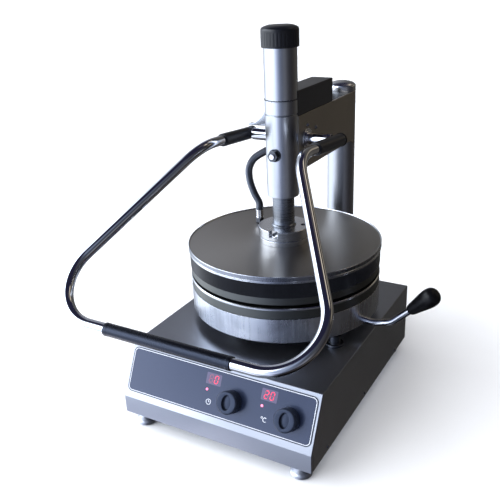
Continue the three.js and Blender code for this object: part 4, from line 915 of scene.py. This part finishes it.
def make_bearings():
    ring = turned([(10, 13), (14, 13), (14, 33.8), (21, 33.8), (21, 37.4, 0.8), (10, 37.4, 0.5)], 0.3, 64)
    sleeve = turned([(10, 37.7), (16.6, 37.7, 0.6), (16.6, 40.7, 0.8), (12.4, 40.7, 0.4), (12.4, 88.7, 0.8),
        (10, 88.7)], 0.3, 64)
    for name, _, turn in SIDES:
        piece(f"bearing_ring_{name}", "frame", ring, turned_steel, SHAFT @ turn, f"bearing_{name}")
        piece(f"collar_ring_{name}", "handle", sleeve, chrome, SHAFT @ turn, f"shaft_collar_{name}")


# Handle.

BAR_RADIUS = 10
CORNER_X, GRIP_Y, GRIP_Z, GRIP_HALF = 311.7, -431.4, 299.2, 127
SOCKET_REACH, SOCKET_RADIUS, SOCKET_BACK = 178.4, 13, -13.6
CORNER_RADIUS, SIDE_RADIUS = 87, 93


def make_handle():
    body = turned([(0, SOCKET_BACK), (SOCKET_RADIUS, SOCKET_BACK), (SOCKET_RADIUS, 104.4, 0.5),
        (12.4, 106, 0.4), (10.2, 106), (10.2, 24), (0, 24)], 0.3, 64)
    cap = turned([(0, -18.4), (12.6, -18.4, 1.2), (13.8, -17.2, 0.6), (13.8, -14.4, 0.6),
        (SOCKET_RADIUS, SOCKET_BACK), (0, SOCKET_BACK)], 0.4, 64)
    for name, side, _ in SIDES:
        spot = shift(side * SOCKET_X, SHAFT_Y, SHAFT_Z) @ tilt(90 - SOCKET_TILT, "X")
        piece(f"socket_{name}", "handle", body, moulded_black, spot, f"handle_socket_{name}")
        piece(f"socket_cap_{name}", "handle", cap, phenolic, spot)
    lean = radians(SOCKET_TILT)
    forward = Vector((0, -cos(lean), sin(lean)))
    root = Vector((SOCKET_X, SHAFT_Y, SHAFT_Z))
    half = [root + forward * 24, root + forward * SOCKET_REACH, Vector((CORNER_X, GRIP_Y, GRIP_Z))]
    mirrored = [Vector((-p.x, p.y, p.z)) for p in reversed(half)]
    radii = [0, SIDE_RADIUS, CORNER_RADIUS, CORNER_RADIUS, SIDE_RADIUS, 0]
    path = softened(half + mirrored, radii, steps=28, closed=False)
    piece("handle_tube", "handle", tube(path, BAR_RADIUS, 32), chrome, HERE, "handle_bar")
    lip, skin, bore, ridge = 11.9, 11.7, 10.1, GRIP_HALF - 7
    sleeve = [(bore, -GRIP_HALF), (lip, -GRIP_HALF, 0.5), (lip, -ridge, 0.2), (skin, 1 - ridge, 0.2),
        (skin, ridge - 1, 0.2), (lip, ridge, 0.2), (lip, GRIP_HALF, 0.5), (bore, GRIP_HALF)]
    spot = shift(0, GRIP_Y, GRIP_Z) @ TO_RIGHT
    piece("grip_sleeve", "handle", turned(sleeve, 0.3, 64), pebbled_rubber, spot, "front_grip")


# Plates.

BAND_RADIUS, COVER_RADIUS = 202, 204
RIM_WALL, WALL_LOW, WALL_TOP = 202.9, 324.4, 331.2
PLATE_STEPS = 192


def make_upper_plate():
    plate = [(0, 272.5), (199.5, 272.5), (201, 274, 0.8), (201, 288.5, 0.4), (0, 288.5)]
    plate = turned(plate, 0.4, PLATE_STEPS)
    piece("upper_plate_casting", "ram", plate, cast_aluminium, HERE, "upper_hot_plate")
    band = [(200.5, 288.8), (BAND_RADIUS, 288.8), (BAND_RADIUS, 319), (200.5, 319)]
    band = turned(band, 0.4, PLATE_STEPS)
    piece("enamel_band", "ram", band, black_enamel, HERE, "upper_band")
    # three rolled beads run round the rim, with a plain wall under the top one
    top = [(COVER_RADIUS, 331.5, 0.8), (COVER_RADIUS, 333.5, 1), (202.2, 333.5, 0.6), (201.4, 331.6, 0.8)]
    beads = [(203.7, 319.3, 0.9), (203.7, 321, 0.9), (RIM_WALL, 321.3, 0.1), (RIM_WALL, 321.7, 0.1),
        (COVER_RADIUS, 322, 0.9), (COVER_RADIUS, 324, 0.9), (RIM_WALL, WALL_LOW, 0.2),
        (RIM_WALL, WALL_TOP, 0.2)]
    inner, bore = COVER_RADIUS - 5, 40.3
    cover = turned([(bore, 327.7), (inner, 329.5), (inner, 319.3)] + beads + top + [(bore, 329.2)], 0.4, 256)
    lid = piece("cover_spinning", "ram", cover, spun_cover, HERE, "upper_cover")
    paint(lid, rolled_rim, lambda c: hypot(c.x, c.y) > 201.8)
    paint(lid, rolled_wall, lambda c: hypot(c.x, c.y) > 202.6 and WALL_LOW + 0.2 < c.z < WALL_TOP - 0.2)


def make_lower_plate():
    shell = turned([(0, 189.7), (199, 189.7), (BAND_RADIUS, 192.7, 2.5), (BAND_RADIUS, 243, 0.5),
        (200, 243), (200, 191.7), (0, 191.7)], 0.5, 256)
    piece("shell_pan", "lower_plate", shell, drawn_shell, HERE, "lower_shell")
    side, lip_low = 201, 262
    plate = turned([(0, 235.3), (195, 235.3), (195, 243.3), (side, 243.3, 0.4), (side, lip_low),
        (BAND_RADIUS, lip_low, 0.3), (BAND_RADIUS, 265, 0.4), (200.5, 266.5, 0.5), (0, 266.5)], 0.4, 256)
    casting = piece("lower_plate_casting", "lower_plate", plate, cast_aluminium, HERE, "lower_hot_plate")
    paint(casting, machined_edge, lambda c: c.z > lip_low - 0.1 and hypot(c.x, c.y) > 200.6)


def make_pivot():
    deck = DECK + SEAT
    post = turned([(0, deck), (18.2, deck), (18.2, deck + 5, 1.4), (12, deck + 5, 1), (12, 189.4),
        (8, 189.4), (8, 211.7, 1), (0, 211.7)], 0.3, 64)
    piece("swing_post", "frame", post, dark_nut, shift(160.5, -104), "pivot_post")


def make_lever():
    swing, rod, root_z = tilt(-11, "Z"), 7, 199.2
    corner, tip = Vector((262, 0, 213)), Vector((352, 0, 302))
    along = (tip - corner).normalized()
    length, bite, widest = 71, 0.55, 18.1
    base = tip - along * length
    path = [(184, 0, root_z), (223, 0, root_z), corner, base + along * length * bite]
    path = softened(path, [0, 60, 55, 0], steps=24, closed=False)
    piece("lever_bar", "lower_plate", tube(path, rod, 32), chrome, swing, "lever_rod")
    # the knob's radius at shares of its length: a slim neck and a swollen end
    swells = [(0, 0.54), (0.04, 0.6), (0.35, 0.8), (0.62, 0.97), (0.74, 1), (0.88, 0.92), (0.96, 0.68),
        (1, 0.32)]
    profile = smooth_line([(widest * swell, length * rise) for rise, swell in swells], 6)
    profile = [(rod + SEAT, 0)] + profile + [(3, length)]
    knob = loft([circle(r, z, 64) for r, z in profile])
    turn = along.to_track_quat("Z", "Y").to_matrix().to_4x4()
    piece("lever_handle", "lower_plate", moved(knob, swing @ Matrix.Translation(base) @ turn), phenolic,
        HERE, "lever_knob")


# Hose and cable gland.

HOSE_FOOT_X, HOSE_Y = -95, 66
HOSE_GLAND_Z, FERRULE_TOP, NUT_TOP = 503, 362, 342.3
HOSE_CREST, RIB_DEPTH, RIB_PITCH, STEPS_PER_RIB = 8.3, 1, 3, 6


def make_hose():
    route = [(-46.5, HOSE_GLAND_Z), (-60.5, HOSE_GLAND_Z), (-84, 492), (-106, 476), (-118, 453),
        (-117, 426), (-107, 398), (HOSE_FOOT_X, 376.3), (HOSE_FOOT_X, 362.3)]
    coarse = smooth_line([(x, HOSE_Y, z) for x, z in route], 24)
    # even steps along the line, so that the ribs keep their pitch
    places = [0]
    for a, b in zip(coarse, coarse[1:]):
        places.append(places[-1] + (b - a).length)
    length = places[-1]
    ribs = round(length / RIB_PITCH)
    count = ribs * STEPS_PER_RIB
    path, j = [], 0
    for i in range(count + 1):
        want = length * i / count
        while j < len(places) - 2 and places[j + 1] < want:
            j += 1
        share = (want - places[j]) / max(1e-9, places[j + 1] - places[j])
        path.append(coarse[j].lerp(coarse[j + 1], min(1, share)))

    def ribbed(along):
        wave = 0.5 + 0.5 * cos(2 * pi * along / (length / ribs))
        return HOSE_CREST - RIB_DEPTH * wave ** 1.5

    hose = piece("hose_turns", None, tube(path, ribbed, 24), conduit_metal, HERE, sharp=60)
    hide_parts("flex_hose")
    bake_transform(hose)
    gland = turned([(4.6, -9), (7, -9), (7, SEAT), (10, SEAT, 0.6), (10, 8), (8.6, 12.7, 1), (4.6, 12.7)],
        0.3, 48)
    piece("hose_gland_ring", "frame", gland, zinc, shift(-CHEEK_OUT, HOSE_Y, HOSE_GLAND_Z) @ TO_LEFT,
        "hose_gland")
    nut = slab(softened(hexagon(17), 1.2, steps=3), NUT_TOP - 11, NUT_TOP, 1)
    piece("hose_nut_hex", "ram", nut, dark_nut, shift(HOSE_FOOT_X, HOSE_Y), "hose_nut")
    low, bore, bead, waist = NUT_TOP + SEAT, 5, 8.8, 8.2
    ferrule = turned([(bore, low), (bead, low, 0.6), (bead, 345), (waist, 345.6), (waist, 359.5),
        (bead, 360), (bead, FERRULE_TOP, 0.8), (bore, FERRULE_TOP)], 0.3, 48)
    piece("hose_ferrule_ring", "ram", ferrule, chrome, shift(HOSE_FOOT_X, HOSE_Y), "hose_ferrule")


def make_gland():
    nut = slab(softened(hexagon(26), 2, steps=3), SEAT, 9 + SEAT, 1)
    dome = turned([(4.5, 9), (10.5, 9), (10.5, 16, 2), (7.4, 23, 2.5), (4.5, 23)], 0.3, 48)
    spot = shift(-120, REAR, 66) @ TO_REAR
    piece("gland_nut", "frame", nut, moulded_black, spot, "cable_gland")
    piece("gland_dome", "frame", dome, moulded_black, spot)


make_case()
make_feet()
make_panel()
make_knob("timer", KNOB_X)
make_knob("heat", KNOB_X + SPACING)
make_column()
make_arm()
make_stop()
make_tubes()
make_cap()
make_ram()
make_spring()
make_guide_screw()
make_bearings()
make_handle()
make_upper_plate()
make_lower_plate()
make_pivot()
make_lever()
make_hose()
make_gland()

# Nodes of the frame that keep their own shape get the finish of the real piece.
KEPT = {
    zinc: "base_pan timer_control heat_control spring_nut",
    board_resin: "control_board",
    blasted_steel: "arm_web",
    rod_steel: "pinion_shaft",
    conduit_metal: "upper_heater lower_heater",
    glide_plastic: "glide_pad_1 glide_pad_2",
}
for finish, names in KEPT.items():
    for name in names.split():
        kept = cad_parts[name].data
        kept.materials.clear()
        kept.materials.append(finish)
